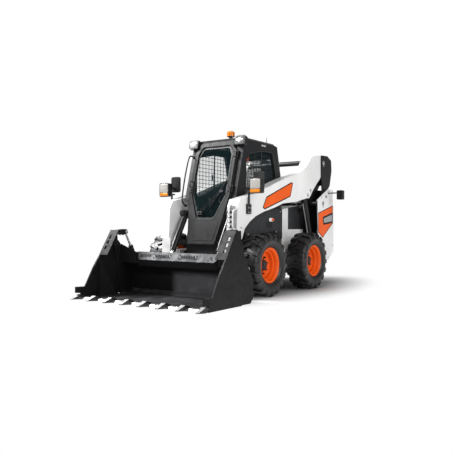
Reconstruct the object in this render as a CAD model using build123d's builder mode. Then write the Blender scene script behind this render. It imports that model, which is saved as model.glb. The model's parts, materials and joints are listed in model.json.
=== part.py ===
"""Skid steer loader with a vertical-lift arm and a combination (clam) bucket.

Millimetres. +X is forward, +Y the machine's left, +Z up, and the ground is at z = 0.
Lengths along X are given from the middle of the wheelbase; the part's own origin
lies under the middle of the overall length.
"""
from build123d import *
from math import atan2, cos, degrees, hypot, radians, sin, tan
import os

# ---------------------------------------------------------------- overall sizes
WHEELBASE = 1300
TOOTH_TIP_X = 2329
TAIL_X = -1800
ORIGIN_X = (TOOTH_TIP_X + TAIL_X) / 2
SEAT_GAP = 0.3
SIDE_GAP = 3
PLATE = 10

# main frame, and what stands beside it from the middle outwards
FRAME_HALF = 435
BELLY_Z = 215
FRAME_FRONT_X = 900
FRAME_REAR_X = -1720
CASE_W = 125
CASE_OUT_Y = FRAME_HALF + CASE_W
CASE_TOP_Z = 600
CASE_HALF_X = 880
DECK_FRONT_X = -480
DECK_REAR_X = -1060
DECK_FRONT_Z = 1190
DECK_REAR_Z = 1270
HOUSING_D = 190
HOUSING_L = 46
HOUSING_END_Y = CASE_OUT_Y + HOUSING_L
PANEL_T = 12
LINK_T = 22
LINK_IN_Y = FRAME_HALF + PANEL_T + SIDE_GAP
LINK_OUT_Y = LINK_IN_Y + LINK_T

# arms
ARM_GAP = 8
ARM_W = 156
ARM_T = 12
ARM_IN_Y = LINK_OUT_Y + ARM_GAP
ARM_OUT_Y = ARM_IN_Y + ARM_W
LEG_GAP = 20
LEG_W = 145
LEG_IN_Y = FRAME_HALF + LEG_GAP
LEG_OUT_Y = LEG_IN_Y + LEG_W
KNEE_Z = 760
REAR_TUBE = (-1000, 1935)
REAR_TUBE_R = 38
FRONT_TUBE = (965, 500)
FRONT_TUBE_R = 48

# rear towers
TOWER_T = 14
CHEEK_T = 22
TOWER_GAP = 25
TOWER_OUT_Y = ARM_OUT_Y + SIDE_GAP + CHEEK_T + TOWER_GAP + TOWER_T

# wheels: 12-16.5 tyre on a 9.75 x 16.5 rim
TYRE_D = 835
TYRE_W = 305
TYRE_GAP = 7
TYRE_INNER_Y = HOUSING_END_Y + TYRE_GAP
TYRE_MID_Y = TYRE_INNER_Y + TYRE_W / 2
RIM_SEAT_D = 419
RIM_FLANGE_D = 464
RIM_W = 248
FLANGE_T = 12
LUG_COUNT = 18
LUG_H = 22
LUG_W = 44
AXLE_Z = TYRE_D / 2
HUB_D = 150
AXLE_D = 90
AXLE_DEPTH = 90
HUB_CLEAR = 12

# lift linkage pins (x from the middle of the wheelbase, z)
PIN_A = (-1360, 1300)       # rear link on the tower
PIN_B = (-1460, 1970)       # arm on the rear link
PIN_C = (-1020, 1500)       # control link on the arm
PIN_D = (258.2, 1190)       # control link on the frame
PIN_E = (-930, 1420)        # lift cylinder on the arm
PIN_F = (-1300, 440)        # lift cylinder in the tower
PIN_P = (1140, 180)         # tilt pivot
PIN_Q = (1200, 423)         # tilt cylinder on the quick attach
PIN_U = (805, 1110)         # tilt cylinder on the arm
PIN_H = (1585, 707)         # clam hinge
PIN_K = (1255, 410)         # clam cylinder on the bucket back
PIN_G = (1500, 850)         # clam cylinder on the clam
PIN_R = 25
PIN_GAP = 0.6

# bucket
BUCKET_HALF = 1016
CLAM_PLATE_T = 20
CLAM_GAP = 6
BACK_SIDE_OUT_Y = BUCKET_HALF - CLAM_PLATE_T - CLAM_GAP
BACK_SIDE_T = 18
SKIN_T = 12
FLOOR_SEAM_X = 1515
FLOOR_GAP = 12
EDGE_T = 25
EDGE_REAR_X = 2120
EDGE_FRONT_X = 2215
TOOTH_COUNT = 8
TOOTH_W = 62
TOOTH_TIP_W = 44
TOOTH_OUTER_Y = BUCKET_HALF - TOOTH_W / 2
WING_W = 316
TOP_BAR_HALF = BUCKET_HALF - WING_W
FORK_T = 14

# cylinders: place, barrel and rod radius, eye, barrel length and travel inwards from rest
LIFT_CYL_Y = (ARM_IN_Y + ARM_OUT_Y) / 2
LIFT_BARREL_R = 46
LIFT_ROD_R = 25
LIFT_EYE_R = 45
LIFT_EYE_W = 56
LIFT_BARREL_L = 985
LIFT_INWARD = 0
TILT_CYL_Y = FRAME_HALF - 50
TILT_PIN_R = 20
TILT_BARREL_R = 38
TILT_ROD_R = 20
TILT_EYE_R = 38
TILT_EYE_W = 46
TILT_BARREL_L = 600
TILT_INWARD = 92
CLAM_CYL_Y = BACK_SIDE_OUT_Y - 90
CLAM_PIN_R = 16
CLAM_BARREL_R = 30
CLAM_ROD_R = 16
CLAM_EYE_R = 32
CLAM_EYE_W = 36
CLAM_BARREL_L = 285
CLAM_INWARD = 166

# quick attach
QA_HALF = LEG_OUT_Y
QA_T = 25
QA_REAR_X = 1212
QA_EAR_T = 18
QA_GAP = 7

# cab
CAB_HALF = FRAME_HALF - 3
CAB_WALL = 30
FOOT_HALF = TILT_CYL_Y - 100
FOOT_BOTTOM_Z = 480
FLOOR_Z = 740
ROOF_Z = 2110
ROOF_T = 38
WIDE_Z = 1300
FOOT_REAR_X = 560
DOOR_BOTTOM = (954, 678)
DOOR_TOP = (575, ROOF_Z - 25)
DOOR_T = 30
DOOR_GAP = 5
DOOR_LOW_HALF = FOOT_HALF - 60
DOOR_MID_HALF = CAB_HALF - 87
DOOR_MID_S = 690
DOOR_HINGE_OUT = 20
DOOR_HINGE_S = (770, 1270)
KNUCKLE_R = 11
KNUCKLE_L = 70
HINGE_PIN_R = 6
HINGE_LUG_T = 12
GLASS_T = 6
ROOF_LAMP = (160, 130, 65)
ROOF_LAMP_Y = CAB_HALF - 36
BEACON = (220, -34)
BEACON_R = 58
BEACON_POST_R = 26
BEACON_POST_L = 87
BEACON_L = 75

# tail
TAILGATE_T = 24
TAILGATE_HALF = TOWER_OUT_Y - 10
TAIL_HINGE = (TAIL_X + 12, -TAILGATE_HALF - 18)
TAIL_HINGE_Z = (680, 1130)
HOOD_FRONT = (-1112, 1318)
HOOD_REAR = (-1700, 1500)
HOOD_PIVOT = (-1085, 1300)
HOOD_HINGE_Y = FRAME_HALF - 105

# work lamps on the arms
LAMP_X = 829
LAMP_Y = ARM_OUT_Y + 136
LAMP_Z = 1448
LAMP_W = 150
LAMP_H = 180
LAMP_RIM = 5

os.makedirs("parts", exist_ok=True)


def side(y=0.0):
    """Plane seen from the machine's right: local x forward, local y up, normal -Y."""
    return Plane(origin=(-ORIGIN_X, y, 0), x_dir=(1, 0, 0), z_dir=(0, -1, 0))


def front(x=0.0):
    """Plane seen from ahead: local x to the machine's left, local y up, normal +X."""
    return Plane(origin=(x - ORIGIN_X, 0, 0), x_dir=(0, 1, 0), z_dir=(1, 0, 0))


def plan(z=0.0):
    """Level plane: local x forward, local y to the machine's left, normal +Z."""
    return Plane(origin=(-ORIGIN_X, 0, z), x_dir=(1, 0, 0), z_dir=(0, 0, 1))


def outline(points, y0, y1, mode=Mode.ADD, round_by=0.0):
    """Plate cut to a closed side outline, from y0 to y1 (y1 larger)."""
    with BuildSketch(side(y1)) as sk:
        with BuildLine():
            Polyline(*points, close=True)
        make_face()
        if round_by:
            fillet(sk.vertices(), round_by)
    extrude(sk.sketch, amount=y1 - y0, mode=mode)


def disc(pin, radius, y0, y1, mode=Mode.ADD):
    """Round boss, pin or hole along Y at a pin's (x, z)."""
    with BuildSketch(side(y1)) as sk:
        with Locations(pin):
            Circle(radius)
    extrude(sk.sketch, amount=y1 - y0, mode=mode)


def both_sides():
    """Copy what stands on the machine's left to its right."""
    mirror(about=Plane.XZ)


def door_x(z):
    """X of the cab's sloping front at a height."""
    slope = (DOOR_TOP[0] - DOOR_BOTTOM[0]) / (DOOR_TOP[1] - DOOR_BOTTOM[1])
    return DOOR_BOTTOM[0] + slope * (z - DOOR_BOTTOM[1])


def rear_wall_x(z):
    """X of the inside of the cab's sloping rear wall at a height."""
    slope = (CAB_REAR[0][0] - CAB_REAR[1][0]) / (ROOF_Z - CAB_WALL - CAB_REAR[1][1])
    return CAB_REAR[1][0] + CAB_WALL + slope * (z - CAB_REAR[1][1])


def along(a, b, y):
    """Plane at pin a whose normal points to pin b, at a distance y from the middle."""
    reach = hypot(b[0] - a[0], b[1] - a[1])
    aim = ((b[0] - a[0]) / reach, 0, (b[1] - a[1]) / reach)
    return Plane(origin=(a[0] - ORIGIN_X, y, a[1]), x_dir=(0, 1, 0), z_dir=aim)


def tube(a, b, y, radius, start, end, mode=Mode.ADD):
    """Round bar on the line from pin a to pin b, between two distances from a."""
    with BuildSketch(along(a, b, y).offset(start)) as sk:
        Circle(radius)
    extrude(sk.sketch, amount=end - start, mode=mode)


def save(part, name):
    export_step(part, "parts/" + name + ".step")


def tooth_rows():
    """Distances of the teeth from the middle, the outer ones flush with the bucket's sides."""
    step = 2 * TOOTH_OUTER_Y / (TOOTH_COUNT - 1)
    return [-TOOTH_OUTER_Y + i * step for i in range(TOOTH_COUNT)]


def turned(profile):
    """Many-sided turned form with a flat for every lug, from a closed (radius, height) outline."""
    reach = max(radius for radius, height in profile) + 1
    half = reach * tan(radians(90 / LUG_COUNT))
    with BuildPart(mode=Mode.PRIVATE) as wedge:
        with BuildSketch(Plane.XZ) as sk:
            with BuildLine():
                Polyline(*profile, close=True)
            make_face()
        extrude(sk.sketch, amount=half, both=True)
        with BuildSketch(Plane.XY.offset(-reach)) as sk:
            with BuildLine():
                Polyline((0, 0), (reach, -half), (reach, half), close=True)
            make_face()
        extrude(sk.sketch, amount=2 * reach, mode=Mode.INTERSECT)
    with PolarLocations(0, 2 * LUG_COUNT):
        add(wedge.part)


# ---------------------------------------------------------------- main frame
SIDE_WALL = [
    (FRAME_REAR_X, 420),
    (-1500, 300),
    (-1100, BELLY_Z),
    (FRAME_FRONT_X - 60, BELLY_Z),
    (FRAME_FRONT_X, BELLY_Z + 60),
    (FRAME_FRONT_X, 480),
    (600, 740),
    (DECK_FRONT_X, 740),
    (DECK_FRONT_X, DECK_FRONT_Z),
    (DECK_REAR_X, DECK_REAR_Z),
    (FRAME_REAR_X, DECK_REAR_Z),
]
with BuildPart() as main_frame:
    outline(SIDE_WALL, FRAME_HALF - PLATE, FRAME_HALF)
    both_sides()
    outline(
        [(-1500, 300), (-1100, BELLY_Z), (FRAME_FRONT_X - 60, BELLY_Z), (FRAME_FRONT_X, BELLY_Z + 60),
         (FRAME_FRONT_X, 480), (FRAME_FRONT_X - PLATE, 480), (FRAME_FRONT_X - PLATE, BELLY_Z + 64),
         (FRAME_FRONT_X - 64, BELLY_Z + PLATE), (-1100, BELLY_Z + PLATE), (-1500, 300 + PLATE),
         (FRAME_REAR_X, 420 + PLATE), (FRAME_REAR_X, 420)],
        PLATE - FRAME_HALF, FRAME_HALF - PLATE,
    )
    outline(
        [(DECK_FRONT_X, DECK_FRONT_Z), (DECK_REAR_X, DECK_REAR_Z), (DECK_REAR_X, DECK_REAR_Z - PLATE),
         (DECK_FRONT_X, DECK_FRONT_Z - PLATE)],
        PLATE - FRAME_HALF, FRAME_HALF - PLATE,
    )
    with BuildSketch(plan(BELLY_Z + 30)):
        with Locations((0, (FRAME_HALF + CASE_OUT_Y) / 2)):
            Rectangle(2 * CASE_HALF_X, CASE_OUT_Y - FRAME_HALF)
    extrude(amount=CASE_TOP_Z - BELLY_Z - 30)
    for axle_x in (WHEELBASE / 2, -WHEELBASE / 2):
        disc((axle_x, AXLE_Z), HOUSING_D / 2, CASE_OUT_Y, HOUSING_END_Y - HUB_CLEAR)
        disc((axle_x, AXLE_Z), AXLE_D / 2 + SEAT_GAP, HOUSING_END_Y - AXLE_DEPTH, HOUSING_END_Y,
             mode=Mode.SUBTRACT)
    both_sides()
    for y in (HOOD_HINGE_Y, -HOOD_HINGE_Y):
        for y0 in (y - KNUCKLE_L / 2 - SEAT_GAP - HINGE_LUG_T, y + KNUCKLE_L / 2 + SEAT_GAP):
            outline([(DECK_REAR_X - 4, DECK_REAR_Z - PLATE), (DECK_REAR_X + 24, DECK_REAR_Z - PLATE),
                     (HOOD_PIVOT[0] + 12, HOOD_PIVOT[1] + 12), (HOOD_PIVOT[0] - 12, HOOD_PIVOT[1] + 6),
                     (HOOD_PIVOT[0] - 10, HOOD_PIVOT[1] - 10)], y0, y0 + HINGE_LUG_T)
        disc(HOOD_PIVOT, HINGE_PIN_R, y - KNUCKLE_L / 2 - SEAT_GAP, y + KNUCKLE_L / 2 + SEAT_GAP)
main_frame.part.label = "main_frame"
save(main_frame.part, "main_frame")

# ---------------------------------------------------------------- frame side pieces
SIDE_PANEL = [
    (653, 892), (388, 1059), (PIN_D[0] + 60, PIN_D[1] - 10), (PIN_D[0] + 20, PIN_D[1] + 42),
    (PIN_D[0] - 20, PIN_D[1] + 42), (PIN_D[0] - 60, PIN_D[1] - 10), (-440, 1190),
    (-440, 640), (-308, 763), (-244, 860), (537, 785),
]
with BuildPart() as side_panels:
    outline(SIDE_PANEL, FRAME_HALF, FRAME_HALF + PANEL_T)
    disc(PIN_D, PIN_R, FRAME_HALF + PANEL_T, LINK_OUT_Y + SIDE_GAP)
    both_sides()
side_panels.part.label = "side_panels"
save(side_panels.part, "side_panels")

TOWER = [
    (-1150, 1350), (-1560, 1550), (-1750, 1545), (-1770, 520), (-1570, 380), (-1250, 380), (-1170, 850),
]
TOWER_BACK = ((-1750, 1545), (-1770, 520))
with BuildPart() as rear_towers:
    outline(TOWER, FRAME_HALF, FRAME_HALF + TOWER_T)
    outline(
        [*TOWER_BACK, (-1570, 380), (-1250, 380), (-1250, 380 + TOWER_T), (-1566, 380 + TOWER_T),
         (-1755, 526), (-1735, 1545)],
        FRAME_HALF + TOWER_T, TOWER_OUT_Y - TOWER_T,
    )
    disc(PIN_A, PIN_R, FRAME_HALF + TOWER_T, TOWER_OUT_Y - TOWER_T)
    disc(PIN_F, PIN_R, FRAME_HALF + TOWER_T, TOWER_OUT_Y - TOWER_T)
    both_sides()
rear_towers.part.label = "rear_towers"
save(rear_towers.part, "rear_towers")

with BuildPart() as tower_skins:
    outline(TOWER, TOWER_OUT_Y - TOWER_T, TOWER_OUT_Y)
    both_sides()
    for z in TAIL_HINGE_Z:
        for z0 in (z - KNUCKLE_L / 2 - SEAT_GAP - HINGE_LUG_T, z + KNUCKLE_L / 2 + SEAT_GAP):
            with BuildSketch(plan(z0)):
                with Locations((TAIL_HINGE[0] + 22, -TOWER_OUT_Y - KNUCKLE_R)):
                    Rectangle(66, 2 * KNUCKLE_R)
            extrude(amount=HINGE_LUG_T)
        with BuildSketch(plan(z - KNUCKLE_L / 2 - SEAT_GAP)):
            with Locations(TAIL_HINGE):
                Circle(HINGE_PIN_R)
        extrude(amount=KNUCKLE_L + 2 * SEAT_GAP)
tower_skins.part.label = "tower_skins"
save(tower_skins.part, "tower_skins")

# tail lamps on the towers' rear wall, and a marker on an outrigger of each outer panel
TAIL_LAMP_Z = (1340, 1480)
TAIL_LAMP_DEPTH = 26
MARKER_X = (-1590, -1510)
MARKER_Z = (1370, 1520)
MARKER_W = 100
OUTRIGGER_L = 170
OUTRIGGER_T = 16


def tower_back_x(z):
    """X of the towers' rear wall at a height."""
    (top_x, top_z), (low_x, low_z) = TOWER_BACK
    return low_x + (top_x - low_x) * (z - low_z) / (top_z - low_z)


with BuildPart() as rear_lamps:
    low, high = TAIL_LAMP_Z
    outline(
        [(tower_back_x(high), high), (tower_back_x(low), low), (tower_back_x(low) - TAIL_LAMP_DEPTH, low),
         (tower_back_x(low) - TAIL_LAMP_DEPTH, high)],
        FRAME_HALF + 65, FRAME_HALF + 205,
    )
    with BuildSketch(front(MARKER_X[0] + 20)):
        with Locations((TOWER_OUT_Y + OUTRIGGER_L / 2, MARKER_Z[1] - 40)):
            Rectangle(OUTRIGGER_L, OUTRIGGER_T)
    extrude(amount=30)
    with BuildSketch(front(MARKER_X[0])):
        with Locations((TOWER_OUT_Y + OUTRIGGER_L + MARKER_W / 2, (MARKER_Z[0] + MARKER_Z[1]) / 2)):
            RectangleRounded(MARKER_W, MARKER_Z[1] - MARKER_Z[0], 15)
    extrude(amount=MARKER_X[1] - MARKER_X[0])
    both_sides()
rear_lamps.part.label = "rear_lamps"
save(rear_lamps.part, "rear_lamps")

BUMPER_T = 50
with BuildPart() as rear_bumper:
    with BuildSketch(plan(430)):
        with Locations((FRAME_REAR_X - BUMPER_T / 2, 0)):
            Rectangle(BUMPER_T, 2 * FRAME_HALF - 4 * PLATE)
    extrude(amount=70)
rear_bumper.part.label = "rear_bumper"
save(rear_bumper.part, "rear_bumper")

ENGINE = (560, 500, 640)
ENGINE_X = -790
with BuildPart() as engine_block:
    with BuildSketch(plan(BELLY_Z + PLATE)):
        with Locations((ENGINE_X, 0)):
            Rectangle(ENGINE[0], ENGINE[1])
    extrude(amount=ENGINE[2])
engine_block.part.label = "engine_block"
save(engine_block.part, "engine_block")

# ---------------------------------------------------------------- cab
CAB_REAR = ((-320, ROOF_Z), (-444, 1640), (-455, FLOOR_Z))
DOOR_LEAN = atan2(DOOR_BOTTOM[0] - DOOR_TOP[0], DOOR_TOP[1] - DOOR_BOTTOM[1])
DOOR_PLANE = Plane(
    origin=(DOOR_BOTTOM[0] - ORIGIN_X, 0, DOOR_BOTTOM[1]),
    x_dir=(0, 1, 0),
    z_dir=(cos(DOOR_LEAN), 0, sin(DOOR_LEAN)),
)
DOOR_LENGTH = hypot(DOOR_BOTTOM[0] - DOOR_TOP[0], DOOR_TOP[1] - DOOR_BOTTOM[1])
DOOR_HEAD_HALF = DOOR_MID_HALF - 60
DOOR_OUTLINE = [
    (-DOOR_LOW_HALF, 0), (DOOR_LOW_HALF, 0), (DOOR_MID_HALF, DOOR_MID_S),
    (DOOR_MID_HALF, DOOR_LENGTH - 130), (DOOR_HEAD_HALF, DOOR_LENGTH - 75), (DOOR_HEAD_HALF, DOOR_LENGTH),
    (-DOOR_HEAD_HALF, DOOR_LENGTH), (-DOOR_HEAD_HALF, DOOR_LENGTH - 75),
    (-DOOR_MID_HALF, DOOR_LENGTH - 130), (-DOOR_MID_HALF, DOOR_MID_S),
]
SIDE_WINDOW = [
    (449, ROOF_Z - 175), (102, ROOF_Z - 107), (-184, ROOF_Z - 103), (-291, 1648), (445, 1357), (547, 1365),
    (538, ROOF_Z - 281),
]
WINDOW_R = 30
REAR_PANE = (1365, 1640, ROOF_Z - 160)
REAR_PANE_HALF = 325
SEAL = 15


def hinge_line(s):
    """Plane square to the door's hinge axis, at a length s up the door."""
    base = DOOR_PLANE.offset(DOOR_GAP + DOOR_T / 2)
    spot = base.origin + base.x_dir * (DOOR_MID_HALF + DOOR_HINGE_OUT) + base.y_dir * s
    return Plane(origin=spot, x_dir=base.x_dir, z_dir=base.y_dir)


W = CAB_WALL
with BuildPart() as cab_frame:
    outline([(door_x(ROOF_Z), ROOF_Z), CAB_REAR[0], CAB_REAR[1], (-452, WIDE_Z), (door_x(WIDE_Z), WIDE_Z)],
            -CAB_HALF, CAB_HALF)
    outline([(-452, WIDE_Z), CAB_REAR[2], (FOOT_REAR_X, FLOOR_Z), (FOOT_REAR_X, WIDE_Z)], -CAB_HALF, CAB_HALF)
    outline([(FOOT_REAR_X, FOOT_BOTTOM_Z), (FRAME_FRONT_X, FOOT_BOTTOM_Z), DOOR_BOTTOM,
             (door_x(WIDE_Z), WIDE_Z), (FOOT_REAR_X, WIDE_Z)], -FOOT_HALF, FOOT_HALF)
    outline([(door_x(ROOF_Z - W) - W, ROOF_Z - W), (CAB_REAR[0][0] + W, ROOF_Z - W), (CAB_REAR[1][0] + W, 1640),
             (-452 + W, WIDE_Z), (CAB_REAR[2][0] + W, FLOOR_Z + W), (FOOT_REAR_X - W, FLOOR_Z + W),
             (FOOT_REAR_X - W, WIDE_Z + W), (door_x(WIDE_Z + W) - W, WIDE_Z + W)],
            W - CAB_HALF, CAB_HALF - W, mode=Mode.SUBTRACT)
    outline([(FOOT_REAR_X - W - 1, FLOOR_Z + W), (FOOT_REAR_X + W, FLOOR_Z + W),
             (FOOT_REAR_X + W, FOOT_BOTTOM_Z + W), (FRAME_FRONT_X - W, FOOT_BOTTOM_Z + W),
             (DOOR_BOTTOM[0] - W, DOOR_BOTTOM[1]), (door_x(WIDE_Z + W) - W, WIDE_Z + W + 1),
             (FOOT_REAR_X - W - 1, WIDE_Z + W + 1)], W - FOOT_HALF, FOOT_HALF - W, mode=Mode.SUBTRACT)
    outline(SIDE_WINDOW, -CAB_HALF - 1, CAB_HALF + 1, mode=Mode.SUBTRACT, round_by=WINDOW_R)
    with BuildSketch(front(CAB_REAR[2][0] - 45)):
        with Locations((0, (REAR_PANE[0] + REAR_PANE[2]) / 2)):
            RectangleRounded(2 * (REAR_PANE_HALF - SEAL), REAR_PANE[2] - REAR_PANE[0] - 2 * SEAL, WINDOW_R)
    extrude(amount=200, mode=Mode.SUBTRACT)
    with BuildSketch(DOOR_PLANE.offset(-3 * W)):
        with BuildLine():
            Polyline(*DOOR_OUTLINE, close=True)
        make_face()
        offset(amount=-W, kind=Kind.INTERSECTION, mode=Mode.REPLACE)
    extrude(amount=4 * W, mode=Mode.SUBTRACT)
    for s in DOOR_HINGE_S:
        for s0 in (s - KNUCKLE_L / 2 - SEAT_GAP - HINGE_LUG_T, s + KNUCKLE_L / 2 + SEAT_GAP):
            with BuildSketch(DOOR_PLANE):
                with Locations((DOOR_MID_HALF + DOOR_HINGE_OUT, s0 + HINGE_LUG_T / 2)):
                    Rectangle(2 * KNUCKLE_R, HINGE_LUG_T)
            extrude(amount=DOOR_GAP + DOOR_T / 2 + KNUCKLE_R)
        with BuildSketch(hinge_line(s - KNUCKLE_L / 2 - SEAT_GAP)):
            Circle(HINGE_PIN_R)
        extrude(amount=KNUCKLE_L + 2 * SEAT_GAP)
cab_frame.part.label = "cab_frame"
save(cab_frame.part, "cab_frame")

with BuildPart() as cab_roof:
    with BuildSketch(plan(ROOF_Z)):
        with Locations(((door_x(ROOF_Z) - 340) / 2, 0)):
            RectangleRounded(door_x(ROOF_Z) + 300, 2 * CAB_HALF - 40, 70)
    extrude(amount=ROOF_T)
    chamfer(cab_roof.edges().group_by(Axis.Z)[-1], 14)
    with BuildSketch(plan(ROOF_Z + ROOF_T)):
        with Locations(BEACON):
            RegularPolygon(BEACON_POST_R, 12)
    extrude(amount=BEACON_POST_L)
cab_roof.part.label = "cab_roof"
save(cab_roof.part, "cab_roof")

with BuildPart() as side_windows:
    with BuildSketch(side(CAB_HALF - W)):
        with BuildLine():
            Polyline(*SIDE_WINDOW, close=True)
        make_face()
        offset(amount=12, kind=Kind.INTERSECTION, mode=Mode.REPLACE)
    extrude(amount=GLASS_T)
    both_sides()
side_windows.part.label = "side_windows"
save(side_windows.part, "side_windows")

with BuildPart() as rear_window:
    low, bend, high = REAR_PANE
    pane = [(rear_wall_x(bend) - 5, low), (rear_wall_x(bend) + 1, bend), (rear_wall_x(high) + 1, high)]
    outline(pane + [(x + GLASS_T, z) for x, z in reversed(pane)], -REAR_PANE_HALF, REAR_PANE_HALF)
rear_window.part.label = "rear_window"
save(rear_window.part, "rear_window")

SEAT_X = -60
LEVER_Y = FRAME_HALF - 105
SEAT_Z = FLOOR_Z + W
with BuildPart() as seat_base:
    with BuildSketch(plan(SEAT_Z)):
        with Locations((SEAT_X, 0)):
            Rectangle(440, 420)
    extrude(amount=160)
    outline([(SEAT_X - 220, SEAT_Z + 160), (SEAT_X - 190, SEAT_Z + 160), (SEAT_X - 250, SEAT_Z + 760),
             (SEAT_X - 280, SEAT_Z + 760)], -220, 220)
seat_base.part.label = "seat_base"
save(seat_base.part, "seat_base")

with BuildPart() as seat_cushion:
    with BuildSketch(plan(SEAT_Z + 160)):
        with Locations((SEAT_X + 30, 0)):
            RectangleRounded(430, 450, 60)
    extrude(amount=110)
    outline([(SEAT_X - 185, SEAT_Z + 270), (SEAT_X - 90, SEAT_Z + 270), (SEAT_X - 155, SEAT_Z + 780),
             (SEAT_X - 236, SEAT_Z + 780)], -215, 215)
seat_cushion.part.label = "seat_cushion"
save(seat_cushion.part, "seat_cushion")

with BuildPart() as control_levers:
    with BuildSketch(plan(SEAT_Z)):
        with Locations((330, LEVER_Y), (330, -LEVER_Y)):
            Rectangle(60, 60)
    extrude(amount=330)
    with BuildSketch(plan(SEAT_Z + 330)):
        with Locations((330, LEVER_Y), (330, -LEVER_Y)):
            Circle(14)
    extrude(amount=170)
control_levers.part.label = "control_levers"
save(control_levers.part, "control_levers")

# ---------------------------------------------------------------- lamps on the cab
with BuildPart() as roof_lamps:
    with BuildSketch(DOOR_PLANE):
        for y in (ROOF_LAMP_Y, -ROOF_LAMP_Y):
            with Locations((y, DOOR_LENGTH - 3)):
                RectangleRounded(ROOF_LAMP[0], ROOF_LAMP[1], 18)
    extrude(amount=ROOF_LAMP[2])
roof_lamps.part.label = "roof_lamps"
save(roof_lamps.part, "roof_lamps")

with BuildPart() as beacon:
    with BuildSketch(plan(ROOF_Z + ROOF_T + BEACON_POST_L)):
        with Locations(BEACON):
            RegularPolygon(BEACON_R, 24)
    extrude(amount=BEACON_L)
    chamfer(beacon.edges().group_by(Axis.Z)[-1], 16)
beacon.part.label = "beacon"
save(beacon.part, "beacon")

# ---------------------------------------------------------------- wheels
R_BODY = TYRE_D / 2 - LUG_H
SHOULDER_R = 335
SHOULDER_Z = 130
SIDE_R = 322
FLANGE_R = RIM_FLANGE_D / 2
SEAT_R = RIM_SEAT_D / 2
HALF_RIM = RIM_W / 2
HALF_TYRE = TYRE_W / 2
BEAD_Z = HALF_RIM - FLANGE_T
DISC_Z = -20
DISC_T = 14
LUG = [(R_BODY - 10, -12), (TYRE_D / 2, -6), (TYRE_D / 2, SHOULDER_Z + 6), (SHOULDER_R + 9, HALF_TYRE - 3.5)]
with BuildPart() as tyre_form:
    half_section = [
        (SEAT_R + SEAT_GAP, BEAD_Z - SEAT_GAP), (FLANGE_R + SEAT_GAP, BEAD_Z - SEAT_GAP), (SIDE_R, HALF_TYRE),
        (SHOULDER_R, HALF_TYRE), (R_BODY, SHOULDER_Z),
    ]
    turned(half_section + [(r, -z) for r, z in reversed(half_section)])
    for i in range(2 * LUG_COUNT):
        hand = 1 if i % 2 else -1
        a = radians(180 / LUG_COUNT * i - 90)
        flank = Plane(origin=(-sin(a) * LUG_W / 2, cos(a) * LUG_W / 2, 0),
                      x_dir=(cos(a), sin(a), 0), z_dir=(sin(a), -cos(a), 0))
        with BuildSketch(flank) as sk:
            with BuildLine():
                Polyline(*[(r, hand * z) for r, z in LUG], close=True)
            make_face()
        extrude(sk.sketch, amount=LUG_W)
with BuildPart() as rim_form:
    turned([
        (0, DISC_Z - DISC_T), (SEAT_R - 12, DISC_Z - DISC_T), (SEAT_R - 12, 20 - HALF_RIM),
        (SEAT_R + 3, -HALF_RIM), (FLANGE_R, -HALF_RIM), (FLANGE_R, -BEAD_Z), (SEAT_R, -BEAD_Z), (SEAT_R, BEAD_Z),
        (FLANGE_R, BEAD_Z), (FLANGE_R, HALF_RIM), (SEAT_R + 3, HALF_RIM), (SEAT_R - 12, HALF_RIM - 20),
        (SEAT_R - 12, 0), (HUB_D / 2 + 30, DISC_Z), (0, DISC_Z),
    ])
    with BuildSketch(Plane.XY.offset(DISC_Z)):
        RegularPolygon(HUB_D / 2, 24)
    extrude(amount=60)
    with BuildSketch(Plane.XY.offset(DISC_Z - DISC_T)):
        Circle(AXLE_D / 2)
    extrude(amount=-(TYRE_MID_Y + DISC_Z - DISC_T - HOUSING_END_Y) - AXLE_DEPTH + 5)
for end, axle_x in (("front", WHEELBASE / 2), ("rear", -WHEELBASE / 2)):
    for hand, turn in (("left", 1), ("right", -1)):
        axle = Plane(origin=(axle_x - ORIGIN_X, turn * TYRE_MID_Y, AXLE_Z),
                     x_dir=(turn, 0, 0), z_dir=(0, turn, 0))
        for piece, form in (("tyre", tyre_form), ("rim", rim_form)):
            with BuildPart() as placed:
                add(form.part.moved(Location(axle)))
            placed.part.label = piece + "_" + end + "_" + hand
            save(placed.part, placed.part.label)

# ---------------------------------------------------------------- rear and control links
LINK_CHEEK = [
    (-1400, 2090), (-1610, 2100), (-1760, 2040), (-1780, 1870), (-1710, 1620), (-1480, 1400),
    (-1415, 1270), (-1330, 1250), (-1300, 1320), (-1430, 1480), (-1400, 1700),
]
CHEEK_IN = (ARM_IN_Y - SIDE_GAP - CHEEK_T, ARM_IN_Y - SIDE_GAP)
CHEEK_OUT = (ARM_OUT_Y + SIDE_GAP, ARM_OUT_Y + SIDE_GAP + CHEEK_T)
with BuildPart() as rear_links:
    for y0, y1 in (CHEEK_IN, CHEEK_OUT):
        outline(LINK_CHEEK, y0, y1)
    outline([(-1760, 2040), (-1780, 1870), (-1710, 1620), (-1690, 1625), (-1756, 1870), (-1738, 2030)],
            CHEEK_IN[1], CHEEK_OUT[0])
    disc(PIN_A, PIN_R + 22, CHEEK_IN[0], CHEEK_OUT[1])
    disc(PIN_A, PIN_R + PIN_GAP, 0, TOWER_OUT_Y, mode=Mode.SUBTRACT)
    disc(PIN_B, PIN_R, CHEEK_IN[0], CHEEK_OUT[1])
    both_sides()
rear_links.part.label = "rear_links"
save(rear_links.part, "rear_links")

with BuildPart() as control_links:
    with BuildSketch(side(LINK_OUT_Y)):
        with Locations(((PIN_C[0] + PIN_D[0]) / 2, (PIN_C[1] + PIN_D[1]) / 2)):
            SlotCenterToCenter(
                hypot(PIN_D[0] - PIN_C[0], PIN_D[1] - PIN_C[1]), 84,
                rotation=degrees(atan2(PIN_D[1] - PIN_C[1], PIN_D[0] - PIN_C[0])),
            )
    extrude(amount=LINK_T)
    disc(PIN_D, PIN_R + PIN_GAP, 0, TOWER_OUT_Y, mode=Mode.SUBTRACT)
    both_sides()
control_links.part.label = "control_links"
save(control_links.part, "control_links")

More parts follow.
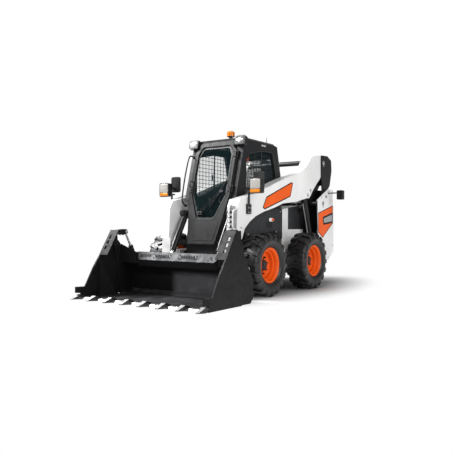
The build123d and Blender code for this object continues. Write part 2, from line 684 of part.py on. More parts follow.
# ---------------------------------------------------------------- arms
ARM = [
    (1050, 1180), (1000, 1269), (700, 1337), (467, 1406), (9, 1563), (-392, 1678), (-551, 1709), (-744, 1783),
    (-914, 1876), (-1031, 1992), (-1135, 2056), (-1367, 2088), (-1490, 2050), (-1535, 1960), (-1480, 1880),
    (-1400, 1730), (-1124, 1511), (-990, 1375), (-870, 1365), (-554, 1302), (-139, 1260), (102, 1192),
    (399, 1126), (615, 1059), (760, 985), (881, 892), (939, 760), (1075, 760),
]
ARM_POCKET = [
    (-300, 1100), (-300, 1610), (-551, 1690), (-744, 1765), (-905, 1855), (-1022, 1972), (-1130, 2038),
    (-1330, 2060), (-1330, 1400), (-1100, 1100),
]
LEG = [
    (939, KNEE_Z), (1075, KNEE_Z), (1075, 620), (1095, 420), (1150, 300), (1192, 215), (1198, 180), (1180, 130),
    (1140, 112), (1090, 130), (1050, 200), (935, 440), (920, 620),
]
with BuildPart() as lift_arms:
    outline(ARM, ARM_IN_Y, ARM_OUT_Y)
    outline(ARM_POCKET, ARM_IN_Y + ARM_T, ARM_OUT_Y - ARM_T, mode=Mode.SUBTRACT)
    disc(PIN_B, PIN_R + PIN_GAP, 0, TOWER_OUT_Y, mode=Mode.SUBTRACT)
    disc(PIN_U, TILT_PIN_R + 22, TILT_CYL_Y + TILT_EYE_W / 2 + SIDE_GAP, ARM_IN_Y)
    disc(PIN_U, TILT_PIN_R, TILT_CYL_Y - TILT_EYE_W / 2 - 10, ARM_IN_Y)
    both_sides()
    disc(REAR_TUBE, REAR_TUBE_R, -ARM_IN_Y, ARM_IN_Y)
lift_arms.part.label = "lift_arms"
save(lift_arms.part, "lift_arms")

with BuildPart() as arm_legs:
    outline(LEG, LEG_IN_Y, LEG_OUT_Y)
    disc(PIN_P, PIN_R + PIN_GAP, 0, TOWER_OUT_Y, mode=Mode.SUBTRACT)
    both_sides()
    disc(FRONT_TUBE, FRONT_TUBE_R, -LEG_IN_Y, LEG_IN_Y)
arm_legs.part.label = "arm_legs"
save(arm_legs.part, "arm_legs")

STALK_R = 14
STALK_Y = ARM_OUT_Y + 18
HOUSING_X = (LAMP_X - 75, LAMP_X - 5)
MIRROR_X = (LAMP_X - 189, LAMP_X - 164)
MIRROR_Y = LAMP_Y - 62
MIRROR_Z = (1420, 1645)
MIRROR_W = 160
with BuildPart() as lamp_stalks:
    with BuildSketch(side(ARM_OUT_Y + 30)):
        with Locations((LAMP_X - 20, 1150)):
            Rectangle(90, 130)
    extrude(amount=30)
    with BuildSketch(plan(1150)):
        with Locations((LAMP_X - 20, STALK_Y)):
            RegularPolygon(STALK_R, 12)
    extrude(amount=230)
    with BuildSketch(plan(1370)):
        with Locations((LAMP_X - 30, (ARM_OUT_Y + LAMP_Y) / 2)):
            Rectangle(40, LAMP_Y - ARM_OUT_Y + 30)
    extrude(amount=20)
    with BuildSketch(front(HOUSING_X[0])):
        with Locations((LAMP_Y, LAMP_Z)):
            RectangleRounded(LAMP_W + 2 * LAMP_RIM, LAMP_H + 2 * LAMP_RIM, 20)
    extrude(amount=HOUSING_X[1] - HOUSING_X[0])
    with BuildSketch(front(MIRROR_X[0])):
        with Locations((MIRROR_Y, (MIRROR_Z[0] + MIRROR_Z[1]) / 2)):
            RectangleRounded(MIRROR_W, MIRROR_Z[1] - MIRROR_Z[0], 30)
    extrude(amount=MIRROR_X[1] - MIRROR_X[0])
    with BuildSketch(front(MIRROR_X[1])):
        with Locations((MIRROR_Y + 20, LAMP_Z + 30)):
            Rectangle(24, 24)
    extrude(amount=HOUSING_X[0] - MIRROR_X[1])
    both_sides()
lamp_stalks.part.label = "lamp_stalks"
save(lamp_stalks.part, "lamp_stalks")

with BuildPart() as head_lamps:
    with BuildSketch(front(HOUSING_X[1])):
        with Locations((LAMP_Y, LAMP_Z)):
            RectangleRounded(LAMP_W, LAMP_H, 20)
    extrude(amount=20)
    both_sides()
head_lamps.part.label = "head_lamps"
save(head_lamps.part, "head_lamps")

COUPLER_Z = (890, 1130)
COUPLER_T = 24
PORT_COUNT = 4
PORT_R = 24
PORT_L = 34


def knee_x(z):
    """X of the arms' front face at the knee, at a height."""
    return ARM[0][0] + (ARM[-1][0] - ARM[0][0]) * (z - ARM[0][1]) / (ARM[-1][1] - ARM[0][1])


with BuildPart() as hose_coupler:
    low, high = COUPLER_Z
    block_x = knee_x(low) + COUPLER_T
    outline([(knee_x(low), low), (block_x, low), (block_x, high), (knee_x(high), high)],
            ARM_OUT_Y - 96, ARM_OUT_Y)
    with BuildSketch(front(block_x)):
        with Locations((ARM_OUT_Y - 48, (low + high) / 2)):
            with GridLocations(0, (high - low) / PORT_COUNT, 1, PORT_COUNT):
                RegularPolygon(PORT_R, 6)
    extrude(amount=PORT_L)
hose_coupler.part.label = "hose_coupler"
save(hose_coupler.part, "hose_coupler")

# ---------------------------------------------------------------- cylinders
CYLINDERS = (
    ("lift", PIN_F, PIN_E, LIFT_CYL_Y, LIFT_BARREL_R, LIFT_ROD_R, LIFT_EYE_R, LIFT_EYE_W, LIFT_BARREL_L, PIN_R,
     LIFT_INWARD),
    ("tilt", PIN_U, PIN_Q, TILT_CYL_Y, TILT_BARREL_R, TILT_ROD_R, TILT_EYE_R, TILT_EYE_W, TILT_BARREL_L,
     TILT_PIN_R, TILT_INWARD),
    ("clam", PIN_K, PIN_G, CLAM_CYL_Y, CLAM_BARREL_R, CLAM_ROD_R, CLAM_EYE_R, CLAM_EYE_W, CLAM_BARREL_L,
     CLAM_PIN_R, CLAM_INWARD),
)
BORE_START = 24
BORE_GAP = 0.5
ROD_CLEAR = 3
for name, base, end, y, barrel_r, rod_r, eye_r, eye_w, barrel_l, pin_r, inward in CYLINDERS:
    reach = hypot(end[0] - base[0], end[1] - base[1])
    with BuildPart() as barrel:
        disc(base, eye_r, y - eye_w / 2, y + eye_w / 2)
        tube(base, end, y, eye_w / 2 - 2, eye_r - 10, eye_r + 14)
        tube(base, end, y, barrel_r, eye_r + 12, barrel_l)
        disc(base, pin_r + PIN_GAP, y - eye_w, y + eye_w, mode=Mode.SUBTRACT)
        tube(base, end, y, rod_r + BORE_GAP, eye_r + BORE_START, barrel_l + 5, mode=Mode.SUBTRACT)
        both_sides()
    barrel.part.label = name + "_barrels"
    save(barrel.part, name + "_barrels")
    with BuildPart() as rod:
        disc(end, eye_r, y - eye_w / 2, y + eye_w / 2)
        tube(base, end, y, rod_r, eye_r + BORE_START + ROD_CLEAR + inward, reach - eye_r + 4)
        both_sides()
    rod.part.label = name + "_rods"
    save(rod.part, name + "_rods")

# ---------------------------------------------------------------- quick attach
QA_EAR = [
    (QA_REAR_X, 60), (QA_REAR_X, 330), (PIN_P[0] + 20, 245), (PIN_P[0] - 40, 235), (PIN_P[0] - 58, 180),
    (PIN_P[0] - 30, 125), (PIN_P[0] + 20, 118),
]
Q_EAR = [(QA_REAR_X, 300), (QA_REAR_X + QA_T, 300), (PIN_Q[0] + 34, PIN_Q[1]), (PIN_Q[0] + 20, PIN_Q[1] + 32),
         (PIN_Q[0] - 20, PIN_Q[1] + 32), (PIN_Q[0] - 38, PIN_Q[1]), (QA_REAR_X - 20, 330)]
with BuildPart() as quick_attach:
    outline([(QA_REAR_X, 60), (QA_REAR_X, 330), (QA_REAR_X + QA_T, 310), (QA_REAR_X + QA_T, 60)],
            -QA_HALF, QA_HALF)
    outline(QA_EAR, LEG_IN_Y - QA_GAP - QA_EAR_T, LEG_IN_Y - QA_GAP)
    outline(QA_EAR, LEG_OUT_Y + QA_GAP, LEG_OUT_Y + QA_GAP + QA_EAR_T)
    disc(PIN_P, PIN_R, LEG_IN_Y - QA_GAP, LEG_OUT_Y + QA_GAP)
    for y in (TILT_CYL_Y - TILT_EYE_W / 2 - SIDE_GAP - QA_EAR_T, TILT_CYL_Y + TILT_EYE_W / 2 + SIDE_GAP):
        outline(Q_EAR, y, y + QA_EAR_T)
    both_sides()
quick_attach.part.label = "quick_attach"
save(quick_attach.part, "quick_attach")

# ---------------------------------------------------------------- bucket
SKIN_BACK = QA_REAR_X + QA_T
BACK_SKIN = [
    (FLOOR_SEAM_X - 5, 0), (1300, 0), (SKIN_BACK, 60), (SKIN_BACK, 280), (1432, 576), (1446, 566),
    (SKIN_BACK + SKIN_T, 276), (SKIN_BACK + SKIN_T, 64), (1304, SKIN_T), (FLOOR_SEAM_X - 5, SKIN_T),
]
TOP_BAR = [(1432, 582), (1450, 582), (1530, 482), (1500, 395), (1322, 388)]
BAR_END_CUT = 85
BACK_SIDE = [
    (SKIN_BACK, 60), (1300, 0), (1505, 0), (1575, 420), (1630, 680), (1625, 730), (1585, 752), (1545, 730),
    (1485, 658), (SKIN_BACK, 280),
]
WING_X = 1500
WING_T = 14
WING = [
    (TOP_BAR_HALF - 10, 577), (BACK_SIDE_OUT_Y - BACK_SIDE_T, 680), (BACK_SIDE_OUT_Y - BACK_SIDE_T, 430),
    (TOP_BAR_HALF - 60, 430),
]
CLAM_EYE_SIDES = (CLAM_CYL_Y - CLAM_EYE_W / 2 - SIDE_GAP, CLAM_CYL_Y + CLAM_EYE_W / 2 + SIDE_GAP)
with BuildPart() as bucket_back:
    outline(TOP_BAR, 0, TOP_BAR_HALF)
    with BuildSketch(plan(TOP_BAR[4][1] - 10)) as sk:
        with BuildLine():
            Polyline((TOP_BAR[1][0], TOP_BAR_HALF), (TOP_BAR[2][0] + 1, TOP_BAR_HALF - BAR_END_CUT),
                     (TOP_BAR[2][0] + 1, TOP_BAR_HALF), close=True)
        make_face()
    extrude(sk.sketch, amount=210, mode=Mode.SUBTRACT)
    outline(BACK_SIDE, BACK_SIDE_OUT_Y - BACK_SIDE_T, BACK_SIDE_OUT_Y)
    with BuildSketch(front(WING_X - WING_T)) as sk:
        with BuildLine():
            Polyline(*WING, close=True)
        make_face()
    extrude(sk.sketch, amount=WING_T)
    disc(PIN_H, PIN_R, BACK_SIDE_OUT_Y, BUCKET_HALF)
    for y in (CLAM_EYE_SIDES[0] - FORK_T, CLAM_EYE_SIDES[1]):
        outline([(SKIN_BACK + 18, 300), (PIN_K[0] - 28, PIN_K[1] - 10), (PIN_K[0] - 20, PIN_K[1] + 22),
                 (PIN_K[0] + 90, PIN_K[1] + 22)], y, y + FORK_T)
    disc(PIN_K, CLAM_PIN_R, *CLAM_EYE_SIDES)
    both_sides()
    outline(BACK_SKIN, -BACK_SIDE_OUT_Y + BACK_SIDE_T, BACK_SIDE_OUT_Y - BACK_SIDE_T)
bucket_back.part.label = "bucket_back"
save(bucket_back.part, "bucket_back")

CLAM_SIDE = [
    (1535, 700), (1545, 867), (1650, 872), (1851, 547), (1956, 400), (2100, 150), (2250, 155), (2250, 80),
    (2165, 70), (2165, 0), (FLOOR_SEAM_X + FLOOR_GAP, 0), (1530, 60), (1592, 420), (1545, 640),
]
CLAM_FORK = [(1470, 830), (1500, 884), (1650, 872), (1672, 836), (1560, 800), (1520, 818)]
FLANGE = [CLAM_SIDE[2], CLAM_SIDE[3], (CLAM_SIDE[3][0] - 10, CLAM_SIDE[3][1] - 6),
          (CLAM_SIDE[2][0] - 10, CLAM_SIDE[2][1] - 6)]
SLOT_COUNT = 3
GUSSET = [(1853, 541), (1928, SKIN_T - 2), (1637, SKIN_T - 2)]
GUSSET_W = 96
GUSSET_OUT_Y = BUCKET_HALF - CLAM_PLATE_T
with BuildPart() as gusset:
    outline(GUSSET, GUSSET_OUT_Y - GUSSET_W, GUSSET_OUT_Y + 2)
    with BuildSketch(front(GUSSET[2][0])) as sk:
        with BuildLine():
            Polyline((GUSSET_OUT_Y + 2, GUSSET[0][1]), (GUSSET_OUT_Y - GUSSET_W, SKIN_T - 2),
                     (GUSSET_OUT_Y + 2, SKIN_T - 2), close=True)
        make_face()
    extrude(sk.sketch, amount=GUSSET[1][0] - GUSSET[2][0], mode=Mode.INTERSECT)
with BuildPart() as clam_shell:
    outline(CLAM_SIDE, BUCKET_HALF - CLAM_PLATE_T, BUCKET_HALF)
    disc(PIN_H, PIN_R + PIN_GAP, BACK_SIDE_OUT_Y, BUCKET_HALF + 10, mode=Mode.SUBTRACT)
    for y in (CLAM_EYE_SIDES[0] - FORK_T, CLAM_EYE_SIDES[1]):
        outline(CLAM_FORK, y, y + FORK_T)
    outline(FLANGE, CLAM_EYE_SIDES[0] - FORK_T, BUCKET_HALF)
    middle = ((FLANGE[0][0] + FLANGE[1][0]) / 2 - ORIGIN_X, (CLAM_CYL_Y + BUCKET_HALF) / 2,
              (FLANGE[0][1] + FLANGE[1][1]) / 2)
    with BuildSketch(Plane(origin=middle, x_dir=(0, 1, 0), z_dir=(-10, 0, -6))) as sk:
        with GridLocations(0, 80, 1, SLOT_COUNT):
            Rectangle(36, 52)
    extrude(sk.sketch, amount=20, both=True, mode=Mode.SUBTRACT)
    add(gusset.part)
    both_sides()
    outline([(FLOOR_SEAM_X + FLOOR_GAP, 0), (EDGE_REAR_X, 0), (EDGE_REAR_X, SKIN_T),
             (FLOOR_SEAM_X + FLOOR_GAP, SKIN_T)], CLAM_PLATE_T - BUCKET_HALF, BUCKET_HALF - CLAM_PLATE_T)
clam_shell.part.label = "clam_shell"
save(clam_shell.part, "clam_shell")

with BuildPart() as cutting_edge:
    outline([(EDGE_REAR_X, 0), (EDGE_FRONT_X, 0), (EDGE_FRONT_X - 30, EDGE_T), (EDGE_REAR_X, EDGE_T)],
            CLAM_PLATE_T - BUCKET_HALF, BUCKET_HALF - CLAM_PLATE_T)
cutting_edge.part.label = "cutting_edge"
save(cutting_edge.part, "cutting_edge")

with BuildPart() as tooth:
    outline([(EDGE_FRONT_X - 48, EDGE_T), (EDGE_FRONT_X - 30, EDGE_T), (EDGE_FRONT_X, 0), (TOOTH_TIP_X, 8),
             (TOOTH_TIP_X, 16), (EDGE_FRONT_X, 62), (EDGE_FRONT_X - 48, 50)], -TOOTH_W / 2, TOOTH_W / 2)
    with BuildSketch(plan(0)) as sk:
        with BuildLine():
            Polyline((EDGE_FRONT_X - 48, -TOOTH_W / 2), (EDGE_FRONT_X, -TOOTH_W / 2),
                     (TOOTH_TIP_X, -TOOTH_TIP_W / 2), (TOOTH_TIP_X, TOOTH_TIP_W / 2),
                     (EDGE_FRONT_X, TOOTH_W / 2), (EDGE_FRONT_X - 48, TOOTH_W / 2), close=True)
        make_face()
    extrude(sk.sketch, amount=70, mode=Mode.INTERSECT)
with BuildPart() as bucket_teeth:
    with Locations(*[(0, y, 0) for y in tooth_rows()]):
        add(tooth.part)
bucket_teeth.part.label = "bucket_teeth"
save(bucket_teeth.part, "bucket_teeth")

# ---------------------------------------------------------------- cab door
GLASS_HALF = DOOR_MID_HALF - 50
WINDOW_OUTLINE = [
    (-GLASS_HALF, DOOR_MID_S), (-150, 340), (150, 340), (GLASS_HALF, DOOR_MID_S),
    (GLASS_HALF, DOOR_LENGTH - 160), (DOOR_HEAD_HALF - 45, DOOR_LENGTH - 50), (45 - DOOR_HEAD_HALF, DOOR_LENGTH - 50),
    (-GLASS_HALF, DOOR_LENGTH - 160),
]
with BuildPart() as door_frame:
    with BuildSketch(DOOR_PLANE.offset(DOOR_GAP)) as sk:
        with BuildLine():
            Polyline(*DOOR_OUTLINE, close=True)
        make_face()
        fillet(sk.vertices(), 40)
    extrude(amount=DOOR_T)
    with BuildSketch(DOOR_PLANE.offset(DOOR_GAP)) as sk:
        with BuildLine():
            Polyline(*WINDOW_OUTLINE, close=True)
        make_face()
        fillet(sk.vertices(), 60)
    extrude(amount=DOOR_T, mode=Mode.SUBTRACT)
    for s in DOOR_HINGE_S:
        with BuildSketch(DOOR_PLANE.offset(DOOR_GAP + DOOR_T / 2 - KNUCKLE_R + 1)):
            with Locations((DOOR_MID_HALF + DOOR_HINGE_OUT / 2 - 4, s)):
                Rectangle(DOOR_HINGE_OUT + 8, KNUCKLE_L)
        extrude(amount=2 * KNUCKLE_R - 2)
        with BuildSketch(hinge_line(s - KNUCKLE_L / 2)):
            Circle(KNUCKLE_R)
        extrude(amount=KNUCKLE_L)
        with BuildSketch(hinge_line(s - KNUCKLE_L)):
            Circle(HINGE_PIN_R + SEAT_GAP)
        extrude(amount=2 * KNUCKLE_L, mode=Mode.SUBTRACT)
door_frame.part.label = "door_frame"
save(door_frame.part, "door_frame")

with BuildPart() as door_glass:
    with BuildSketch(DOOR_PLANE.offset(DOOR_GAP + 8)) as sk:
        with BuildLine():
            Polyline(*WINDOW_OUTLINE, close=True)
        make_face()
        fillet(sk.vertices(), 60)
    extrude(amount=GLASS_T)
door_glass.part.label = "door_glass"
save(door_glass.part, "door_glass")

# ---------------------------------------------------------------- tailgate and rear hood
LOUVRES = 6
LOUVRE_H = 26
with BuildPart() as tailgate:
    with BuildSketch(front(TAIL_X)):
        with Locations((0, 900)):
            RectangleRounded(2 * TAILGATE_HALF, 780, 40)
        with Locations((-300, 980), (300, 980)):
            with GridLocations(0, 62, 1, LOUVRES):
                Rectangle(440, LOUVRE_H, mode=Mode.SUBTRACT)
    extrude(amount=TAILGATE_T)
    for z in TAIL_HINGE_Z:
        with BuildSketch(plan(z - KNUCKLE_L / 2)):
            with Locations(TAIL_HINGE):
                Circle(KNUCKLE_R)
            with Locations((TAIL_HINGE[0], (TAIL_HINGE[1] - TAILGATE_HALF) / 2 + 5)):
                Rectangle(2 * KNUCKLE_R - 4, -TAIL_HINGE[1] - TAILGATE_HALF + 10)
            with Locations(TAIL_HINGE):
                Circle(HINGE_PIN_R + SEAT_GAP, mode=Mode.SUBTRACT)
        extrude(amount=KNUCKLE_L)
tailgate.part.label = "tailgate"
save(tailgate.part, "tailgate")

with BuildPart() as rear_hood:
    outline([HOOD_FRONT, HOOD_REAR, (-1712, 1300), (-1690, 1300), (-1682, 1475), (-1118, 1292)],
            -FRAME_HALF + 12, FRAME_HALF - 12)
    with BuildSketch(plan(HOOD_FRONT[1] - 60)):
        with Locations((-1460, 0)):
            with GridLocations(62, 0, LOUVRES, 1):
                Rectangle(LOUVRE_H, 560)
    extrude(amount=HOOD_REAR[1] - HOOD_FRONT[1] + 80, mode=Mode.SUBTRACT)
    for y in (HOOD_HINGE_Y, -HOOD_HINGE_Y):
        outline([(-1130, 1322), (HOOD_PIVOT[0], HOOD_PIVOT[1] + KNUCKLE_R),
                 (HOOD_PIVOT[0], HOOD_PIVOT[1] - KNUCKLE_R), (-1130, 1298)],
                y - KNUCKLE_L / 2, y + KNUCKLE_L / 2)
        disc(HOOD_PIVOT, KNUCKLE_R, y - KNUCKLE_L / 2, y + KNUCKLE_L / 2)
        disc(HOOD_PIVOT, HINGE_PIN_R + SEAT_GAP, y - KNUCKLE_L, y + KNUCKLE_L, mode=Mode.SUBTRACT)
rear_hood.part.label = "rear_hood"
save(rear_hood.part, "rear_hood")
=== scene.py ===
"""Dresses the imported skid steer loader: materials, detail pieces, lights and camera. Metres."""

import json
import math

import bmesh
import bpy
from mathutils import Matrix, Vector


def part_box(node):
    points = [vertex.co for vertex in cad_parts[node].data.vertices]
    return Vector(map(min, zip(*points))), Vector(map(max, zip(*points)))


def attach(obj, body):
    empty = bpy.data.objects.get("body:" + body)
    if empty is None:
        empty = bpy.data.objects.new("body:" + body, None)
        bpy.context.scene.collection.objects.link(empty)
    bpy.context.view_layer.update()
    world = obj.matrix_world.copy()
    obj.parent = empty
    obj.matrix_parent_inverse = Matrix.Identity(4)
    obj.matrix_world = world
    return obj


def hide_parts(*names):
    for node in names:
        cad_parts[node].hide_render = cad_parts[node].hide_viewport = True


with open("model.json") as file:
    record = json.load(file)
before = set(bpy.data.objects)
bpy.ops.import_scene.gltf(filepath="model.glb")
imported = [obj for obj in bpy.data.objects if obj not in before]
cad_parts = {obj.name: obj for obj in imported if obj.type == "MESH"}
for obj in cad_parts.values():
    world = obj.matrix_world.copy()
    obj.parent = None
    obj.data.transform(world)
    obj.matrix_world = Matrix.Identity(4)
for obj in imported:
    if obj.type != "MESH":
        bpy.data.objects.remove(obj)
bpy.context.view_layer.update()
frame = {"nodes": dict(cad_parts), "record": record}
scene = bpy.context.scene
ORIGIN_X = 0.2645           # the part's origin, ahead of the middle of the wheelbase
SIDES = (("left", 1), ("right", -1))
AHEAD, LEFT, UP = (1, 0, 0), (0, 1, 0), (0, 0, 1)
AFT, RIGHT, DOWN = (-1, 0, 0), (0, -1, 0), (0, 0, -1)
DOOR_LEAN = math.atan2(0.379, 1.407)


def show(name, data):
    """New object in the scene."""
    obj = bpy.data.objects.new(name, data)
    scene.collection.objects.link(obj)
    return obj


# ------------------ shader nodes
class Net:
    """Short way to add and join shader nodes."""

    def __init__(self, owner):
        owner.use_nodes = True
        self.owner = owner
        self.tree = owner.node_tree

    def put(self, socket, value):
        if isinstance(value, bpy.types.NodeSocket):
            self.tree.links.new(value, socket)
        else:
            socket.default_value = value

    def fill(self, node, inputs):
        """Sets or joins inputs by name, with _ for a blank."""
        for key, value in inputs.items():
            self.put(node.inputs[key.replace("_", " ")], value)

    def node(self, kind, settings=(), **inputs):
        made = self.tree.nodes.new("ShaderNode" + kind)
        for key, value in settings:
            setattr(made, key, value)
        self.fill(made, inputs)
        return made

    def math(self, op, a, b=0.0, clamp=False):
        made = self.node("Math", (("operation", op), ("use_clamp", clamp)))
        self.put(made.inputs[0], a)
        self.put(made.inputs[1], b)
        return made.outputs[0]

    def times(self, a, b, clamp=False):
        return self.math("MULTIPLY", a, b, clamp)

    def vector(self, op, a, b=(0, 0, 0)):
        made = self.node("VectorMath", (("operation", op),))
        self.put(made.inputs[0], a)
        self.put(made.inputs[1], b)
        return made.outputs["Value" if op == "LENGTH" else "Vector"]

    def ramp(self, value, low, high, to_low=0.0, to_high=1.0):
        return self.node("MapRange", (("interpolation_type", "SMOOTHSTEP"),), Value=value, From_Min=low,
                         From_Max=high, To_Min=to_low, To_Max=to_high).outputs[0]

    def mix(self, share, a, b):
        made = self.node("Mix", (("data_type", "RGBA"),), Factor=share)
        for socket, value in ((made.inputs[6], a), (made.inputs[7], b)):
            self.put(socket, (*value, 1) if isinstance(value, tuple) else value)
        return made.outputs[2]

    def blend(self, end, share, a, b):
        """Mixes two shaders into the tree's output."""
        made = self.node("MixShader")
        for socket, value in zip(made.inputs, (share, a.outputs[0], b.outputs[0])):
            self.put(socket, value)
        self.node(end, Surface=made.outputs[0])

    def noise(self, where, scale, detail, rough=0.55):
        return self.node("TexNoise", Vector=where, Scale=scale, Detail=detail, Roughness=rough).outputs["Fac"]

    def wave(self, where, way, scale, distortion):
        return self.node("TexWave", (("wave_type", "BANDS"), ("bands_direction", way)), Vector=where, Scale=scale,
                         Distortion=distortion).outputs["Fac"]

    def stretch(self, where, scale):
        return self.node("Mapping", Vector=where, Scale=scale).outputs[0]

    def facing(self):
        """The three parts of the surface's direction."""
        return self.node("SeparateXYZ", Vector=self.node("TexCoord").outputs["Normal"]).outputs[:]

    def bump(self, height, strength, depth, **below):
        return self.node("Bump", Height=height, Strength=strength, Distance=depth, **below).outputs[0]

    def surface(self, **inputs):
        """Fills the Principled shader and gives the material back."""
        self.fill(self.tree.nodes["Principled BSDF"], inputs)
        return self.owner


# ------------------ camera, lamps, world and floor
CAMERA_AT = (6.5885, 4.483, 0.9)
CAMERA_YAW, CAMERA_PITCH, CAMERA_ROLL = -2.5372, 0.002, 0.0034
LENS = 43.6
WORLD_DIM = 0.24
FLOOR_HALF = 40
# centre and reach of the floor's painted shadow and of its fade to white
SHADE_CENTRE, SHADE_RADII = (-0.75, 0.1, 0.0), (2.9, 1.5, 1.0)
WHITE_LIGHT = (1, 1, 1, 1)


def aim_at(obj, place, way):
    obj.location = place
    obj.rotation_euler = way.to_track_quat("-Z", "Y").to_euler()


def add_camera():
    """Camera at the fitted place, level and looking at the machine's front left corner."""
    data = bpy.data.cameras.new("camera")
    data.lens = LENS
    data.sensor_width = 36
    camera = show("camera", data)
    level = math.cos(CAMERA_PITCH)
    aim_at(camera, CAMERA_AT, Vector((level * math.cos(CAMERA_YAW), level * math.sin(CAMERA_YAW),
                                      math.sin(CAMERA_PITCH))))
    camera.rotation_euler.rotate_axis("Z", CAMERA_ROLL)
    scene.camera = camera


def add_area(name, place, target, size, power, spared=None):
    """Soft square lamp aimed at a point, with its light kept off one object."""
    data = bpy.data.lights.new(name, "AREA")
    data.size = size
    data.energy = power
    lamp = show(name, data)
    aim_at(lamp, place, Vector(target) - Vector(place))
    if spared:
        held = bpy.data.collections.new(name + "_spares")
        held.objects.link(spared)
        held.collection_objects[0].light_linking.link_state = "EXCLUDE"
        lamp.light_linking.receiver_collection = held


def add_world():
    """White for the camera and through glass, dimmer as a light."""
    scene.world = bpy.data.worlds.new("studio")
    net = Net(scene.world)
    net.tree.nodes.clear()
    path = net.node("LightPath").outputs
    seen = net.math("MAXIMUM", path["Is Camera Ray"], path["Is Transmission Ray"])
    dim, full = (net.node("Background", Color=WHITE_LIGHT, Strength=power) for power in (WORLD_DIM, 1.0))
    net.blend("OutputWorld", seen, dim, full)


def add_floor():
    """Pale floor: takes the shadow near the machine, has a painted shadow (a darker colour) round the machine's
    middle, and fades to plain white further out.
    """
    mesh = bpy.data.meshes.new("floor")
    corners = ((-1, -1), (1, -1), (1, 1), (-1, 1))
    mesh.from_pydata([(FLOOR_HALF * x, FLOOR_HALF * y, 0) for x, y in corners], [], [(0, 1, 2, 3)])
    floor = show("floor", mesh)
    net = Net(bpy.data.materials.new("floor"))
    net.tree.nodes.clear()
    place = net.vector("SUBTRACT", net.node("NewGeometry").outputs["Position"], SHADE_CENTRE)
    far = net.vector("LENGTH", net.vector("DIVIDE", place, SHADE_RADII))
    # painted shadow: the floor's colour is darker near the machine's middle and paler further out
    tone = net.ramp(far, 0.3, 0.62, 0.55, 0.95)
    floor_colour_with_painted_shadow = net.node("CombineColor", Red=tone, Green=tone, Blue=tone).outputs[0]
    net.blend("OutputMaterial", net.ramp(far, 0.5, 1.05), net.node("BsdfDiffuse", Color=floor_colour_with_painted_shadow),
              net.node("Emission", Color=WHITE_LIGHT, Strength=1.0))
    mesh.materials.append(net.owner)
    return floor


add_camera()
add_world()
floor = add_floor()
add_area("key", (3.0, -5.5, 6.5), (0, 0, 0.6), 3.0, 1250)
add_area("side", (2.0, 7.5, 4.0), (0, 0, 0.8), 5.0, 300, spared=floor)
add_area("front", (8.0, 2.5, 3.0), (0, 0, 0.8), 4.0, 110)
add_area("back", (-6.5, -1.0, 5.0), (0, 0, 1.0), 4.0, 60, spared=floor)
scene.view_settings.view_transform = "Standard"


# ------------------ materials
def start(name):
    """New material's net, the position on the object and its three parts."""
    net = Net(bpy.data.materials.new(name))
    where = net.node("TexCoord").outputs["Object"]
    return net, where, net.node("SeparateXYZ", Vector=where).outputs[:]


def shade(value, by):
    """Colour made lighter or darker by a factor."""
    return tuple(min(1.0, c * by) for c in value)


def painted(name, colour, rough, grain=False, chips=0.0, bare=(0.3, 0.3, 0.31), dust=0.03, regions=None,
            coat=0.0, gloss=0.5):
    """Sprayed steel: slow tone variation, orange peel or powder grain, road dust low down and a few chips."""
    net, where, axes = start(name)
    tone = net.mix(net.ramp(net.noise(where, 2.3, 5), 0.35, 0.7), shade(colour, 0.93), shade(colour, 1.05))
    if regions:
        tone = regions(net, tone, where, *axes)
    streak = net.noise(net.stretch(where, (9, 9, 1.6)), 3.0, 6)
    film = net.times(net.ramp(axes[2], 1.0, 0.05, 0.08, 1.0), streak, clamp=True)
    tone = net.mix(net.times(film, dust), tone, (0.34, 0.32, 0.29))
    hit = net.ramp(net.noise(where, 60, 8, 0.7), 0.74 - chips * 0.1, 0.77 - chips * 0.1)
    tone = net.mix(net.times(hit, min(1.0, chips * 2)), tone, bare)
    spread = 0.3 if colour[0] > 0.5 else 1.0
    rub = net.ramp(net.noise(where, 14, 4), 0.3, 0.75, rough - 0.07 * spread, rough + 0.12 * spread)
    peel = net.bump(net.noise(where, 240 if grain else 90, 2), 0.25 if grain else 0.08 * spread, 0.0006)
    dents = net.bump(net.noise(where, 3.5, 1), 0.025, 0.004, Normal=peel)
    if coat:
        net.surface(Coat_Weight=coat, Coat_Roughness=0.12)
    return net.surface(Base_Color=tone, Roughness=rub, Normal=dents, Specular_IOR_Level=gloss)


def arm_regions(net, tone, where, x, y, z):
    """The cross tube behind the cab and its ends are black on the white arms."""
    return net.mix(net.math("LESS_THAN", net.math("ABSOLUTE", y), 0.4795), tone, (0.03, 0.03, 0.033))


def frame_regions(net, tone, where, x, y, z):
    """White flanks with the dark engine side, and a dark side behind the step panel."""
    behind = net.times(net.math("GREATER_THAN", z, 0.885), net.math("LESS_THAN", x, -0.925))
    ahead = net.times(net.math("GREATER_THAN", z, 0.61), net.math("GREATER_THAN", x, -0.7))
    inside = net.math("LESS_THAN", net.math("ABSOLUTE", y), 0.4335)
    dark = net.math("ADD", net.math("ADD", behind, ahead), inside, clamp=True)
    return net.mix(dark, tone, (0.022, 0.023, 0.026))


